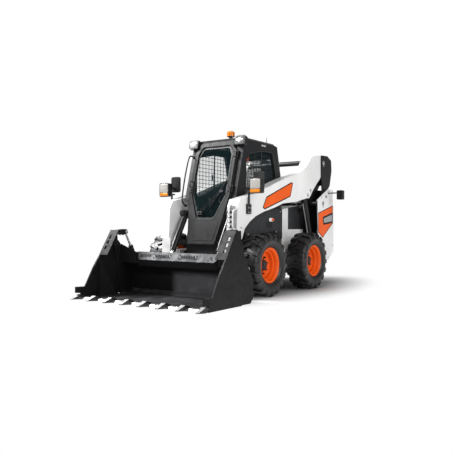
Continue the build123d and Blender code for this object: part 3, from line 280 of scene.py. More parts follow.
def bucket_wear_and_painted_light(net, tone, where, x, y, z):
    """Worn grey steel where loads slide on the floor, a painted reflection (a blotched lighter grey patch) on the
    back plate, and a painted highlight (lighter grey) on the top bar's upward faces.
    """
    ahead, _, above = net.facing()
    width = net.math("ABSOLUTE", y)
    blotch = net.ramp(net.noise(net.stretch(where, (1.0, 2.2, 3.0)), 2.6, 5, 0.5), 0.4, 0.62)
    # painted reflection: a blotched lighter grey patch on the forward-facing back plate, low down, kept off the
    # machine's right side
    back = net.times(net.ramp(ahead, 0.35, 0.7), net.ramp(z, 0.35, 0.27))
    for share in (net.ramp(width, 0.9, 0.8), net.ramp(x, 1.2, 1.02), net.ramp(blotch, 0.0, 1.0, 0.72, 1.0),
                  net.ramp(y, -0.3, -0.16), 0.9):
        back = net.times(back, share)
    tone = net.mix(back, tone, (0.2, 0.2, 0.215))
    deck = net.times(net.ramp(above, 0.55, 0.8), net.ramp(z, 0.3, 0.2))
    tone = net.mix(net.times(deck, net.ramp(blotch, 0.0, 1.0, 0.25, 0.6)), tone, (0.1, 0.1, 0.105))
    # painted highlight: the top bar's upward faces are coloured lighter grey than its front
    bar = net.times(net.ramp(above, 0.45, 0.6), net.ramp(z, 0.46, 0.49))
    bar = net.times(net.times(bar, net.math("LESS_THAN", width, 0.72)), net.math("LESS_THAN", z, 0.6))
    return net.mix(bar, tone, (0.045, 0.048, 0.054))


def lamp_regions(net, tone, where, x, y, z):
    """Dark housing behind the clear front of the roof lamps, which look along the door's slope."""
    ahead = net.math("ADD", net.times(x, math.cos(DOOR_LEAN)), net.times(z, math.sin(DOOR_LEAN)))
    return net.mix(net.math("LESS_THAN", ahead, 0.9), tone, (0.012, 0.012, 0.013))


def metal(name, colour, rough, wear=0.5, painted_side_shade=None):
    """Bare or plated steel with fine drawn lines and stains. The optional colour is painted shade, given to faces
    that don't look up.
    """
    net, where, _ = start(name)
    drawn = net.noise(net.stretch(where, (6, 90, 90)), 6, 4)
    stain = net.noise(where, 9, 6, 0.65)
    tone = net.mix(net.ramp(drawn, 0.3, 0.7), shade(colour, 0.85), shade(colour, 1.1))
    tone = net.mix(net.times(net.ramp(stain, 0.48, 0.7), wear), tone, shade(colour, 0.45))
    # painted shade: faces that don't look up are given a darker colour
    if painted_side_shade:
        tone = net.mix(net.ramp(net.facing()[2], 0.55, 0.2), tone, painted_side_shade)
    return net.surface(Base_Color=tone, Metallic=0.85, Roughness=net.ramp(stain, 0.3, 0.75, rough, rough + 0.3),
                       Normal=net.bump(drawn, 0.12, 0.0006))


def plastic(name, colour, rough):
    """Moulded plastic with a fine leather-like grain and dull rubbed areas."""
    net, where, _ = start(name)
    rub = net.noise(where, 7, 5)
    grain = net.node("TexVoronoi", Vector=where, Scale=420).outputs["Distance"]
    return net.surface(Base_Color=net.mix(net.ramp(rub, 0.35, 0.7), shade(colour, 0.85), shade(colour, 1.3)),
                       Roughness=net.ramp(rub, 0.3, 0.75, rough - 0.08, rough + 0.14),
                       Normal=net.bump(grain, 0.22, 0.0005))


def rubber(name, colour, rough=0.46):
    """Rubber with a mould texture and pale dust in scattered specks."""
    net, where, _ = start(name)
    cloud = net.noise(where, 5, 7, 0.62)
    tone = net.mix(net.ramp(cloud, 0.35, 0.7), shade(colour, 0.75), shade(colour, 1.5))
    speck = net.noise(where, 55, 6, 0.7)
    dusty = net.times(net.ramp(speck, 0.5, 0.72), net.ramp(cloud, 0.42, 0.66, 0.03, 0.14))
    grain = net.bump(net.noise(where, 190, 3), 0.25, 0.001)
    return net.surface(Base_Color=net.mix(dusty, tone, (0.15, 0.145, 0.14)), Specular_IOR_Level=0.5,
                       Roughness=net.ramp(cloud, 0.3, 0.7, rough, rough + 0.2),
                       Normal=net.bump(cloud, 0.15, 0.003, Normal=grain))


def tinted(name, colour, alpha):
    """Flat safety glass: faint tint, slight unevenness and dust along its lower part."""
    net, where, axes = start(name)
    haze = net.noise(where, 1.7, 4)
    film = net.times(net.ramp(axes[2], 1.5, 1.0), net.noise(where, 24, 6), clamp=True)
    return net.surface(Base_Color=net.mix(net.ramp(haze, 0.3, 0.7), shade(colour, 0.8), shade(colour, 1.15)),
                       Alpha=net.math("ADD", alpha, net.times(film, 0.04), clamp=True),
                       Roughness=net.ramp(haze, 0.3, 0.7, 0.04, 0.09), IOR=1.5, Specular_IOR_Level=0.4,
                       Normal=net.bump(haze, 0.03, 0.004))


def lens(name, colour, scale=110.0):
    """Moulded lamp lens with fine optic flutes."""
    net, where, _ = start(name)
    flutes = net.wave(where, "Y", scale / 6, 0.4)
    cloud = net.noise(where, 30, 3)
    tone = net.mix(net.ramp(flutes, 0.2, 0.9), shade(colour, 0.78), shade(colour, 1.12))
    tone = net.mix(net.ramp(cloud, 0.5, 0.75, 0.0, 0.35), tone, shade(colour, 0.55))
    return net.surface(Base_Color=tone, Roughness=net.ramp(cloud, 0.3, 0.7, 0.06, 0.16), Coat_Weight=0.6,
                       Coat_Roughness=0.05, Normal=net.bump(flutes, 0.5, 0.002))


def cloth(name, colour):
    """Woven seat fabric, with its threads both ways and darker rubbed places."""
    net, where, _ = start(name)
    weave = net.times(net.wave(where, "Y", 130, 0.6), net.wave(where, "DIAGONAL", 95, 0.6))
    cloud = net.noise(where, 8, 5)
    tone = net.mix(net.ramp(weave, 0.1, 0.8), shade(colour, 0.6), shade(colour, 1.5))
    tone = net.mix(net.ramp(cloud, 0.45, 0.7, 0.0, 0.4), tone, shade(colour, 0.5))
    return net.surface(Base_Color=tone, Roughness=net.ramp(cloud, 0.3, 0.7, 0.75, 0.92), Sheen_Weight=0.3,
                       Normal=net.bump(weave, 0.35, 0.001))


WHITE = (0.91, 0.91, 0.905)
DARK = (0.011, 0.011, 0.012)
MATS = {
    "dark_paint": painted("frame_paint", WHITE, 0.36, dust=0.22, chips=0.15, regions=frame_regions),
    "white_paint": painted("white_paint", WHITE, 0.3, coat=0.2),
    "black_paint": painted("black_paint", DARK, 0.36, chips=0.35, gloss=0.3, bare=(0.11, 0.11, 0.115)),
    "cab_paint": painted("cab_paint", (0.01, 0.0105, 0.012), 0.45, grain=True, dust=0.05, chips=0.05, gloss=0.28,
                         bare=(0.1, 0.1, 0.1)),
    "orange_paint": painted("orange_paint", (0.9, 0.115, 0.006), 0.36, dust=0.02, gloss=0.22),
    "black_plastic": plastic("black_plastic", DARK, 0.42),
    "glass": tinted("glass", (0.02, 0.052, 0.058), 0.09),
    "lamp_glass": lens("lamp_lens", (0.5, 0.49, 0.45)),
    "amber_lens": lens("amber_lens", (0.9, 0.26, 0.004), scale=90),
    "seat_fabric": cloth("seat_fabric", (0.045, 0.046, 0.052)),
    "cast": metal("cast_iron", (0.1, 0.1, 0.1), 0.6),
    # bare steel with painted shade on its faces that don't look up
    "steel": metal("bare_steel", (0.62, 0.62, 0.63), 0.28, painted_side_shade=(0.06, 0.06, 0.062)),
    "chrome": metal("chrome_rod", (0.78, 0.79, 0.8), 0.1, wear=0.15),
    "tyre": rubber("tyre_rubber", (0.008, 0.008, 0.0085), rough=0.3),
}
# bucket paint with worn floor steel, a painted reflection on the back plate and a painted highlight on the top bar
BUCKET_PAINT = painted("bucket_paint", (0.0065, 0.0065, 0.0075), 0.44, chips=0.5, gloss=0.14,
                       bare=(0.13, 0.13, 0.135), regions=bucket_wear_and_painted_light)
ZINC = metal("zinc_plate", (0.55, 0.55, 0.56), 0.35, wear=0.4)
OWN = {
    "lift_arms": painted("arm_paint", WHITE, 0.3, coat=0.2, regions=arm_regions),
    "bucket_back": BUCKET_PAINT, "clam_shell": BUCKET_PAINT, "hose_coupler": ZINC,
    "side_panels": painted("panel_paint", (0.024, 0.025, 0.028), 0.42, grain=True, dust=0.06, gloss=0.3),
    "roof_lamps": painted("lamp_housing", (0.1, 0.1, 0.105), 0.25, dust=0.0, coat=0.2, regions=lamp_regions),
    "head_lamps": MATS["black_plastic"],
}
# what a piece can wear: a material and the slot that it stands for
LOOKS = {slot: (mat, slot) for slot, mat in MATS.items()}
GREY_FILM = painted("grey_film", (0.016, 0.016, 0.018), 0.55, dust=0.0, gloss=0.12)
LOOKS.update(
    bucket=(BUCKET_PAINT, "black_paint"),
    zinc=(ZINC, "steel"),
    seal=(rubber("seal_rubber", (0.016, 0.016, 0.017)), "tyre"),
    reflector=(metal("lamp_reflector", (0.34, 0.34, 0.35), 0.22, wear=0.6), "chrome"),
    mirror=(metal("mirror_face", (0.85, 0.87, 0.88), 0.04, wear=0.03), "chrome"),
    red=(lens("red_lens", (0.6, 0.02, 0.01), scale=80), "amber_lens"),
    grey_film=(GREY_FILM, "black_paint"), grey_lens=(GREY_FILM, "amber_lens"),
    pale_film=(painted("pale_film", (0.34, 0.345, 0.35), 0.35, dust=0.0), "black_paint"),
)
ROUNDED = {
    0.002: "cutting_edge",
    0.003: "tower_skins side_panels bucket_back bucket_teeth quick_attach control_links hose_coupler",
    0.004: "clam_shell rear_links head_lamps lamp_stalks tailgate rear_hood main_frame rear_lamps beacon",
    0.005: "lift_arms arm_legs door_frame",
    0.006: "roof_lamps cab_roof rear_bumper",
    0.008: "cab_frame",
}


def soften(obj, width, segments=2):
    """Small round-over on the sharp edges, so that they catch the light."""
    made = obj.modifiers.new("round", "BEVEL")
    made.width = width
    made.segments = segments
    made.limit_method = "ANGLE"
    made.angle_limit = math.radians(32)
    made.harden_normals = True
    made.use_clamp_overlap = True


for row in frame["record"]["subparts"]:
    obj = frame["nodes"][row["node"]]
    for slot in obj.material_slots:
        slot.material = OWN.get(row["node"], MATS[row["material_slot"]])
    for width, nodes in ROUNDED.items():
        if row["node"] in nodes.split():
            soften(obj, width)


# ------------------ forms
def at(x, y, z):
    """Point in the row frame for an x given from the middle of the wheelbase."""
    return Vector((x - ORIGIN_X, y, z))


def polar(radius, angle, z=0.0):
    """Point round the Z axis."""
    return Vector((radius * math.cos(angle), radius * math.sin(angle), z))


def rounded(points, radius, steps):
    """Flat outline with its corners turned into arcs."""
    done = []
    count = len(points)
    for i in range(count):
        p0, p1, p2 = (Vector(points[(i + k) % count]) for k in (-1, 0, 1))
        a, b = (p0 - p1), (p2 - p1)
        half = a.angle(b) / 2
        cut = min(radius / math.tan(half), a.length * 0.48, b.length * 0.48)
        r = cut * math.tan(half)
        p_in, p_out = p1 + a.normalized() * cut, p1 + b.normalized() * cut
        middle = p1 + (a.normalized() + b.normalized()).normalized() * (r / math.sin(half))
        for k in range(steps + 1):
            way = (p_in - middle).lerp(p_out - middle, k / steps)
            done.append(middle + way.normalized() * r)
    return done


def rect(u0, v0, u1, v1, radius=0.0, steps=4):
    """Flat rectangle between two corners, with round corners if a radius is given."""
    ring = [(u0, v0), (u1, v0), (u1, v1), (u0, v1)]
    return rounded(ring, radius, steps) if radius else ring


def inset(points, by):
    """Flat outline moved inwards by a distance."""
    area = sum(a[0] * b[1] - b[0] * a[1] for a, b in zip(points, points[1:] + points[:1]))
    sign = 1 if area > 0 else -1
    done = []
    count = len(points)
    for i in range(count):
        p0, p1, p2 = (Vector(points[(i + k) % count]) for k in (-1, 0, 1))
        a, b = (p1 - p0).normalized(), (p2 - p1).normalized()
        na, nb = Vector((-a.y, a.x)) * sign, Vector((-b.y, b.x)) * sign
        middle = (na + nb).normalized()
        done.append(tuple(p1 + middle * (by / max(0.3, middle.dot(na)))))
    return done


def loft(bm, rings, ends=True, closed=False):
    """Skin over rings of points, where a ring of one point is a tip."""
    rings = [[bm.verts.new(p) for p in ring] for ring in rings]
    pairs = list(zip(rings, rings[1:]))
    if closed:
        pairs.append((rings[-1], rings[0]))
    for a, b in pairs:
        count = max(len(a), len(b))
        for i in range(count):
            j = (i + 1) % count
            if len(a) == 1:
                bm.faces.new((a[0], b[j], b[i]))
            elif len(b) == 1:
                bm.faces.new((a[i], a[j], b[0]))
            else:
                bm.faces.new((a[i], a[j], b[j], b[i]))
    if ends and not closed:
        for ring in (rings[0], rings[-1]):
            if len(ring) > 1:
                bm.faces.new(ring)


def slab(bm, ring, shift):
    """Closed prism: a ring of points and the same ring moved by a vector."""
    loft(bm, [ring, [Vector(p) + Vector(shift) for p in ring]])


def block(bm, low, high):
    """Box between two corners, x given from the middle of the wheelbase."""
    (x0, y0, z0), (x1, y1, z1) = low, high
    slab(bm, [at(x, y, z0) for x, y in rect(x0, y0, x1, y1)], (0, 0, z1 - z0))


def side_plate(bm, points, y, depth):
    """Plate with a side outline, its inner face at y, depth outwards (signed)."""
    slab(bm, [at(px, y, pz) for px, pz in points], (0, depth, 0))


def end_plate(bm, points, x, depth):
    """Plate with an outline seen along the machine, from x, depth forwards (signed)."""
    slab(bm, [at(x, y, z) for y, z in points], (depth, 0, 0))


def basis(aim):
    """An aim's unit vector and two unit vectors square to it."""
    aim = Vector(aim).normalized()
    other = Vector((0, 0, 1)) if abs(aim.z) < 0.9 else Vector((1, 0, 0))
    u = aim.cross(other).normalized()
    return aim, u, aim.cross(u).normalized()


def lathe(bm, centre, aim, profile, sides, closed=False, caps=True):
    """Turned form: (distance along the aim, radius) stations round a centre."""
    centre = Vector(centre)
    aim, u, v = basis(aim)
    turns = [2 * math.pi * i / sides for i in range(sides)]
    loft(bm, [[centre + aim * along] if radius < 1e-6 else
              [centre + aim * along + (u * math.cos(a) + v * math.sin(a)) * radius for a in turns]
              for along, radius in profile], caps, closed)


def bar(bm, a, b, radius, sides=12):
    """Round bar with slightly broken ends."""
    a, b = Vector(a), Vector(b)
    length = (b - a).length
    e = min(radius * 0.2, length * 0.1)
    lathe(bm, a, b - a, ((0, radius - e), (e, radius), (length - e, radius), (length, radius - e)), sides)


def bolt(bm, spot, aim, size, washer=True):
    """Hexagon head on a washer."""
    spot = Vector(spot)
    aim = Vector(aim).normalized()
    if washer:
        lathe(bm, spot, aim, ((0, size * 1.35), (size * 0.2, size * 1.35), (size * 0.28, size * 1.2)), 20)
    lathe(bm, spot + aim * size * 0.28, aim, ((0, size), (size * 0.62, size), (size * 0.78, size * 0.82)), 6)


def pin_head(bm, spot, aim, radius):
    """Pivot pin end: a domed disc with a grease fitting and a locking tab."""
    aim, _, v = basis(aim)
    lathe(bm, spot, aim, ((0, radius), (0.006, radius), (0.009, radius * 0.86), (0.0095, radius * 0.3),
                          (0.013, radius * 0.26), (0.017, 0.0)), 28)
    bolt(bm, spot + v * radius * 1.35, aim, radius * 0.26)


def side_bolts(bm, spots, y, size):
    """Bolts in a left side face, at (x, z) spots."""
    for x, z in spots:
        bolt(bm, at(x, y, z), LEFT, size)


# ------------------ pieces
def make_mesh(name, bm, smooth=35):
    """Mesh of a bmesh, smooth apart from edges over an angle."""
    bmesh.ops.recalc_face_normals(bm, faces=bm.faces)
    mesh = bpy.data.meshes.new(name)
    bm.to_mesh(mesh)
    bm.free()
    for face in mesh.polygons:
        face.use_smooth = True
    mesh.set_sharp_from_angle(angle=math.radians(smooth))
    return mesh


def ride(obj, body, look):
    """Gives an object its look, and a body to ride on."""
    mat, slot = LOOKS[look]
    if not obj.data.materials:
        obj.data.materials.append(mat)
    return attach(obj, body)


def make(name, body, look, forms, smooth=35, round_by=0.0, segments=2, hand=1):
    """Piece that rides on a body, from (function, its arguments after bm) forms. hand -1 mirrors it."""
    bm = bmesh.new()
    for form, *given in forms:
        form(bm, *given)
    bmesh.ops.scale(bm, vec=(1, hand, 1), verts=bm.verts)
    obj = show(name, make_mesh(name, bm, smooth))
    if round_by:
        soften(obj, round_by, segments)
    return ride(obj, body, look)


def pair(name, *given, **more):
    """Left piece and its mirror image on the right."""
    for label, hand in SIDES:
        make(name + label, *given, hand=hand, **more)


def sweep(name, points, radius, body, look, cyclic=False, hand=1):
    """Round bar, bead or pipe bent along (x, y, z) as for at(), or along row frame Vectors. hand -1 mirrors it."""
    data = bpy.data.curves.new(name, "CURVE")
    data.dimensions = "3D"
    data.bevel_depth = radius
    data.bevel_resolution = 3
    data.resolution_u = 6
    spline = data.splines.new("NURBS")
    spline.points.add(len(points) - 1)
    for knot, p in zip(spline.points, points):
        x, y, z = p if isinstance(p, Vector) else at(*p)
        knot.co = (x, hand * y, z, 1)
    spline.order_u = 3
    spline.use_cyclic_u = cyclic
    spline.use_endpoint_u = not cyclic
    data.use_fill_caps = True
    return ride(show(name, data), body, look)


def sweep_pair(name, points, radius, body, look, cyclic=False):
    """Left sweep and its mirror image on the right."""
    for label, hand in SIDES:
        sweep(name + label, points, radius, body, look, cyclic, hand)


# ------------------ wheels
LUGS = 18
BODY_R = 0.3955
TYRE_PROFILE = (
    (-0.1115, 0.2105), (-0.1117, 0.2335), (-0.12, 0.2385), (-0.129, 0.248), (-0.133, 0.252),
    (-0.1335, 0.256), (-0.1372, 0.26), (-0.144, 0.28), (-0.1452, 0.283), (-0.147, 0.284),
    (-0.149, 0.299), (-0.1512, 0.312), (-0.1523, 0.318), (-0.1524, 0.33), (-0.1505, 0.335),
    (-0.148, 0.35), (-0.142, 0.366), (-0.136, 0.38), (-0.127, 0.389), (-0.112, 0.393),
    (-0.07, 0.395), (0.0, 0.3955),
)
LUG_STATIONS = (
    # along the axle, how far round it leans, half width, top radius, foot radius
    (-0.012, -0.01, 0.016, 0.416, 0.39),
    (0.0, -0.006, 0.021, 0.4175, 0.39),
    (0.045, 0.01, 0.022, 0.4175, 0.39),
    (0.062, 0.022, 0.023, 0.4175, 0.39),
    (0.105, 0.036, 0.026, 0.4172, 0.388),
    (0.132, 0.041, 0.028, 0.413, 0.378),
    (0.1462, 0.043, 0.029, 0.398, 0.356),
    (0.1512, 0.044, 0.029, 0.372, 0.342),
    (0.1523, 0.044, 0.027, 0.352, 0.336),
)
RIM_PROFILE = (
    (0.1175, 0.2318), (0.1225, 0.2306), (0.1238, 0.227), (0.1215, 0.2225), (0.114, 0.2165), (0.106, 0.205),
    (0.1015, 0.2015), (0.078, 0.199), (0.064, 0.196), (0.058, 0.193), (0.054, 0.181), (0.048, 0.1785),
    (0.018, 0.177), (0.004, 0.1755), (-0.001, 0.172), (-0.003, 0.166), (-0.006, 0.156),
    (-0.0115, 0.148), (-0.0135, 0.14), (-0.013, 0.12), (-0.0165, 0.112), (-0.0195, 0.106), (-0.0195, 0.0),
)
RIM_BACK = (
    (-0.0335, 0.0), (-0.0335, 0.195), (-0.104, 0.196), (-0.114, 0.214), (-0.1235, 0.2225), (-0.1238, 0.229),
    (-0.12, 0.2316), (-0.113, 0.2318), (-0.1126, 0.2097), (0.112, 0.2097), (0.1126, 0.2318), (0.1175, 0.2318),
)
STUD_COUNT, STUD_CIRCLE = 8, 0.115
RIBS, RIB_HALF, RIB_HEIGHT = 72, 0.0012, 0.0014
RIVETS, RIVET_CIRCLE = 4, 0.166


def tyre_mesh():
    """Tyre along the Z axis: turned body, leaning bar lugs that run down the shoulders, and flank ribs."""
    bm = bmesh.new()
    profile = TYRE_PROFILE + tuple((-z, r) for z, r in reversed(TYRE_PROFILE[:-1]))
    lathe(bm, (0, 0, 0), UP, profile, 144, closed=True)
    for i in range(2 * LUGS):
        hand = 1 if i % 2 else -1
        start_angle = math.pi / LUGS * i
        rings = []
        for z, lean, half, top, foot in LUG_STATIONS:
            section = ((foot, 1.18), (top - 0.004, 1.04), (top, 0.9))
            ring = [(r, lean - half * spread) for r, spread in section]
            ring += [(r, lean + half * spread) for r, spread in reversed(section)]
            rings.append([polar(r, start_angle + s / BODY_R, hand * z) for r, s in ring])
        loft(bm, rings)
    for hand in (1, -1):
        for i in range(RIBS):
            a = 2 * math.pi * i / RIBS
            side = polar(RIB_HALF, a + math.pi / 2)
            foot, tip = polar(0.262, a, hand * 0.1375), polar(0.279, a, hand * 0.1438)
            slab(bm, [foot - side, foot + side, tip + side, tip - side], (0, 0, hand * RIB_HEIGHT))
    return make_mesh("tyre_mesh", bm, 28)


def rim_mesh():
    """Rim along the Z axis, seen from +Z: flange, dished barrel, dropped disc."""
    bm = bmesh.new()
    for profile in (RIM_PROFILE, RIM_BACK):
        lathe(bm, (0, 0, 0), UP, profile, 96, caps=False)
    for i in range(RIVETS):
        lathe(bm, polar(RIVET_CIRCLE, 2 * math.pi * i / RIVETS + 0.4, -0.005), UP,
              ((0, 0.011), (0.004, 0.01), (0.006, 0.006), (0.0065, 0.0)), 16)
    return make_mesh("rim_mesh", bm, 40)


def hub_mesh():
    """Dark hub with its cap, studs and nuts, and the axle behind it."""
    bm = bmesh.new()
    lathe(bm, (0, 0, -0.0196), UP, (
        (0, 0.094), (0.006, 0.093), (0.008, 0.088), (0.008, 0.078), (0.014, 0.0735), (0.046, 0.071),
        (0.052, 0.066), (0.0535, 0.042), (0.0585, 0.0395), (0.059, 0.012), (0.056, 0.0)), 48)
    for i in range(STUD_COUNT):
        spot = polar(STUD_CIRCLE, 2 * math.pi * i / STUD_COUNT + 0.2, -0.0165)
        lathe(bm, spot, UP, ((0, 0.015), (0.006, 0.015), (0.007, 0.0125)), 20)
        lathe(bm, spot, UP, ((0.006, 0.0125), (0.024, 0.0125), (0.026, 0.0105)), 6)
        lathe(bm, spot, UP, ((0.022, 0.007), (0.034, 0.007), (0.0355, 0.0055)), 12)
    for i in range(6):
        bolt(bm, polar(0.055, math.pi / 3 * i, 0.033), UP, 0.0055, washer=False)
    lathe(bm, (0, 0, -0.034), DOWN, ((0, 0.045), (0.207, 0.045), (0.21, 0.042)), 40)
    return make_mesh("hub_mesh", bm)


def valve_mesh():
    """Tyre valve on the dish's wall."""
    bm = bmesh.new()
    bar(bm, (0.15, 0.104, 0.002), (0.132, 0.092, 0.028), 0.004)
    bar(bm, (0.134, 0.0935, 0.025), (0.128, 0.089, 0.036), 0.0055)
    return make_mesh("valve_mesh", bm)


WHEEL_PARTS = (
    ("detailed_tyre_", tyre_mesh(), "tyre", "tyre_"), ("detailed_rim_", rim_mesh(), "orange_paint", "rim_"),
    ("wheel_hub_", hub_mesh(), "black_paint", None), ("valve_", valve_mesh(), "seal", None),
)
for end in ("front", "rear"):
    for label, hand in SIDES:
        tail = end + "_" + label
        centre = sum(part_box("tyre_" + tail), Vector()) / 2
        x_axis, z_axis = Vector((hand, 0, 0)), Vector((0, hand, 0))
        axes = Matrix((x_axis, z_axis.cross(x_axis), z_axis)).transposed().to_4x4()
        for name, mesh, look, stands_for in WHEEL_PARTS:
            obj = show(name + tail, mesh)
            obj.matrix_world = Matrix.Translation(centre) @ axes
            ride(obj, "wheel_" + tail, look)
            if stands_for:
                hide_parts(stands_for + tail)


# ------------------ cab
DOOR_FOOT = (0.954, 0.678)
DOOR_AIM = Vector((math.cos(DOOR_LEAN), 0, math.sin(DOOR_LEAN)))
DOOR_UP = Vector((-math.sin(DOOR_LEAN), 0, math.cos(DOOR_LEAN)))
DOOR_FACE = 0.035
GLASS_LINE = [(-0.295, 0.69), (-0.15, 0.34), (0.15, 0.34), (0.295, 0.69), (0.295, 1.297),
              (0.24, 1.407), (-0.24, 1.407), (-0.295, 1.297)]
DOOR_LINE = [(-0.225, 0.0), (0.225, 0.0), (0.345, 0.69), (0.345, 1.327), (0.285, 1.382), (0.285, 1.457),
             (-0.285, 1.457), (-0.285, 1.382), (-0.345, 1.327), (-0.345, 0.69)]
LOW_PANEL = [(-0.185, 0.045), (0.185, 0.045), (0.245, 0.33), (0.15, 0.292), (-0.15, 0.292), (-0.245, 0.33)]


def on_door(y, s, out=0.0):
    """Point on the door: y to the left, s up the slope, out from the cab's face."""
    return at(DOOR_FOOT[0], y, DOOR_FOOT[1]) + DOOR_UP * s + DOOR_AIM * out


def door_slab(bm, low, high):
    """Box on the door between two (y, s, out) corners."""
    (y0, s0, o0), (y1, s1, o1) = low, high
    slab(bm, [on_door(y, s, o0) for y, s in rect(y0, s0, y1, s1)], DOOR_AIM * (o1 - o0))


# rubber bead round the door glass, black border printed on the pane, pressed lower panel and the seal to the cab
sweep("door_glass_bead", [on_door(y, s, DOOR_FACE - 0.004) for y, s in rounded(GLASS_LINE, 0.06, 6)], 0.008,
      "cab_door", "seal", cyclic=True)
border = (rounded([(y * 0.985, 0.008 + s * 0.99) for y, s in GLASS_LINE], 0.06, 6),
          rounded([(y * 0.9, 0.055 + s * 0.935) for y, s in GLASS_LINE], 0.05, 6))
make("door_glass_border", "cab_door", "black_plastic",
     [(loft, [[on_door(y, s, 0.02) for y, s in ring] for ring in border], False)])
make("door_lower_panel", "cab_door", "cab_paint",
     [(slab, [on_door(y, s, DOOR_FACE - 0.001) for y, s in rounded(LOW_PANEL, 0.03, 4)], DOOR_AIM * 0.004)],
     round_by=0.0025)
sweep("door_gap_seal", [on_door(y, s, 0.004) for y, s in rounded(DOOR_LINE, 0.045, 4)], 0.005, "frame", "seal",
      cyclic=True)

# wiper: motor housing, two parallel arms and the blade
WIPER_FEET = ((-0.11, 0.432), (-0.07, 0.432))
BLADE_A, BLADE_B = Vector((0.06, 0.52)), Vector((0.27, 0.9))
make("wiper_motor", "cab_door", "black_plastic", [
    (door_slab, (-0.135, 0.405, 0.021), (-0.045, 0.455, 0.05)),
    *[(lathe, on_door(*foot, 0.045), DOOR_AIM, ((0, 0.014), (0.012, 0.014), (0.016, 0.01)), 20)
      for foot in WIPER_FEET]], round_by=0.004)
make("wiper_arms", "cab_door", "black_paint", [
    *[(bar, on_door(y, s, 0.056), on_door(y + 0.3, s + 0.3, 0.05), 0.0045, 10) for y, s in WIPER_FEET],
    (door_slab, (0.18, 0.715, 0.044), (0.245, 0.745, 0.054))])
blade = [(bar, on_door(*BLADE_A, out), on_door(*BLADE_B, out), radius, 8)
         for out, radius in ((0.034, 0.0055), (0.0275, 0.0035))]
for k in range(5):
    y, s = BLADE_A.lerp(BLADE_B, (k + 0.5) / 5)
    blade.append((bar, on_door(y - 0.008, s - 0.014, 0.039), on_door(y + 0.008, s + 0.014, 0.039), 0.0045, 8))
make("wiper_blade", "cab_door", "seal", blade)

# door handle with its latch on the right side, and the hinge straps on the left
make("door_latch_plate", "cab_door", "black_plastic", [
    (door_slab, (-0.338, 0.735, DOOR_FACE), (-0.303, 0.905, DOOR_FACE + 0.01)),
    (lathe, on_door(-0.32, 0.77, DOOR_FACE + 0.008), DOOR_AIM, ((0, 0.013), (0.01, 0.013), (0.012, 0.01)), 24),
], round_by=0.003)
sweep("door_pull", [on_door(-0.32, s, DOOR_FACE + out) for s, out in (
    (0.8, 0.004), (0.806, 0.045), (0.85, 0.05), (0.89, 0.045), (0.896, 0.004))], 0.007, "cab_door",
    "black_plastic")
straps = []
for s in (0.77, 1.27):
    straps.append((door_slab, (0.3, s - 0.045, DOOR_FACE), (0.352, s + 0.045, DOOR_FACE + 0.007)))
    for y, d in ((0.318, -0.028), (0.318, 0.028), (0.338, 0.0)):
        straps.append((bolt, on_door(y, s + d, DOOR_FACE + 0.007), DOOR_AIM, 0.0065))
make("door_hinge_straps", "cab_door", "black_paint", straps, round_by=0.0015)

# grab rail outside the door's right edge
sweep("entry_grab_rail", [on_door(*p) for p in (
    (-0.395, 1.28, 0.0), (-0.395, 1.285, 0.09), (-0.41, 1.2, 0.105), (-0.412, 0.9, 0.108),
    (-0.4, 0.64, 0.105), (-0.395, 0.56, 0.09), (-0.395, 0.56, 0.0))], 0.01, "frame", "black_paint")
feet = []
for s in (0.56, 1.28):
    feet.append((lathe, on_door(-0.395, s), DOOR_AIM, ((0, 0.026), (0.006, 0.026), (0.008, 0.022)), 24))
    feet += [(bolt, on_door(-0.395, s + d, 0.006), DOOR_AIM, 0.0045, False) for d in (-0.017, 0.017)]
make("grab_rail_feet", "frame", "black_paint", feet)

# side windows: seal, sliding sash and steel mesh behind the pane
ROOF_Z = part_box("cab_frame")[1].z
CAB_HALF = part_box("cab_frame")[1].y
SIDE_LINE = [(0.449, ROOF_Z - 0.175), (0.102, ROOF_Z - 0.107), (-0.184, ROOF_Z - 0.103), (-0.291, 1.648),
             (0.445, 1.357), (0.547, 1.365), (0.538, ROOF_Z - 0.281)]
MESH_PITCH = (0.075, 0.056)
MESH_DEPTH = 0.04


def spans(line, value, axis):
    """Where a closed outline is crossed by a line at a value of one coordinate."""
    hits = []
    for a, b in zip(line, line[1:] + line[:1]):
        if (a[axis] - value) * (b[axis] - value) < 0:
            t = (value - a[axis]) / (b[axis] - a[axis])
            hits.append(a[1 - axis] + (b[1 - axis] - a[1 - axis]) * t)
    hits.sort()
    return list(zip(hits[::2], hits[1::2]))


def side_screen(bm):
    """Welded wire screen inside the left side window's outline."""
    for axis in (0, 1):
        y = CAB_HALF - MESH_DEPTH - 0.0035 * axis
        low, high = (f(p[axis] for p in SIDE_LINE) for f in (min, max))
        value = low + MESH_PITCH[axis] / 2
        while value < high:
            for a, b in spans(SIDE_LINE, value, axis):
                if b - a > 0.02:
                    ends = ((value, a), (value, b)) if axis == 0 else ((a, value), (b, value))
                    bar(bm, *[at(u, y, v) for u, v in ends], 0.0038, 6)
            value += MESH_PITCH[axis]


pair("side_screen_", "frame", "black_paint", [(side_screen,)], smooth=60)
sweep_pair("side_window_seal_", [(u, CAB_HALF + 0.001, v) for u, v in rounded(SIDE_LINE, 0.03, 4)], 0.008, "frame",
           "seal", cyclic=True)
pair("sliding_sash_", "frame", "black_plastic", [
    (side_plate, [(0.085, 2.008), (0.109, 2.005), (0.128, 1.487), (0.104, 1.495)], CAB_HALF - 0.024, 0.012),
    (side_plate, rect(0.14, 1.62, 0.16, 1.7), CAB_HALF - 0.023, 0.02)], round_by=0.003)


def rear_at(u, v, shift=0.0):
    """Point on the cab's rear screen, which leans forward above z = 1.64."""
    return at(-0.4 + max(0.0, v - 1.64) * 0.2825 + shift, u, v)


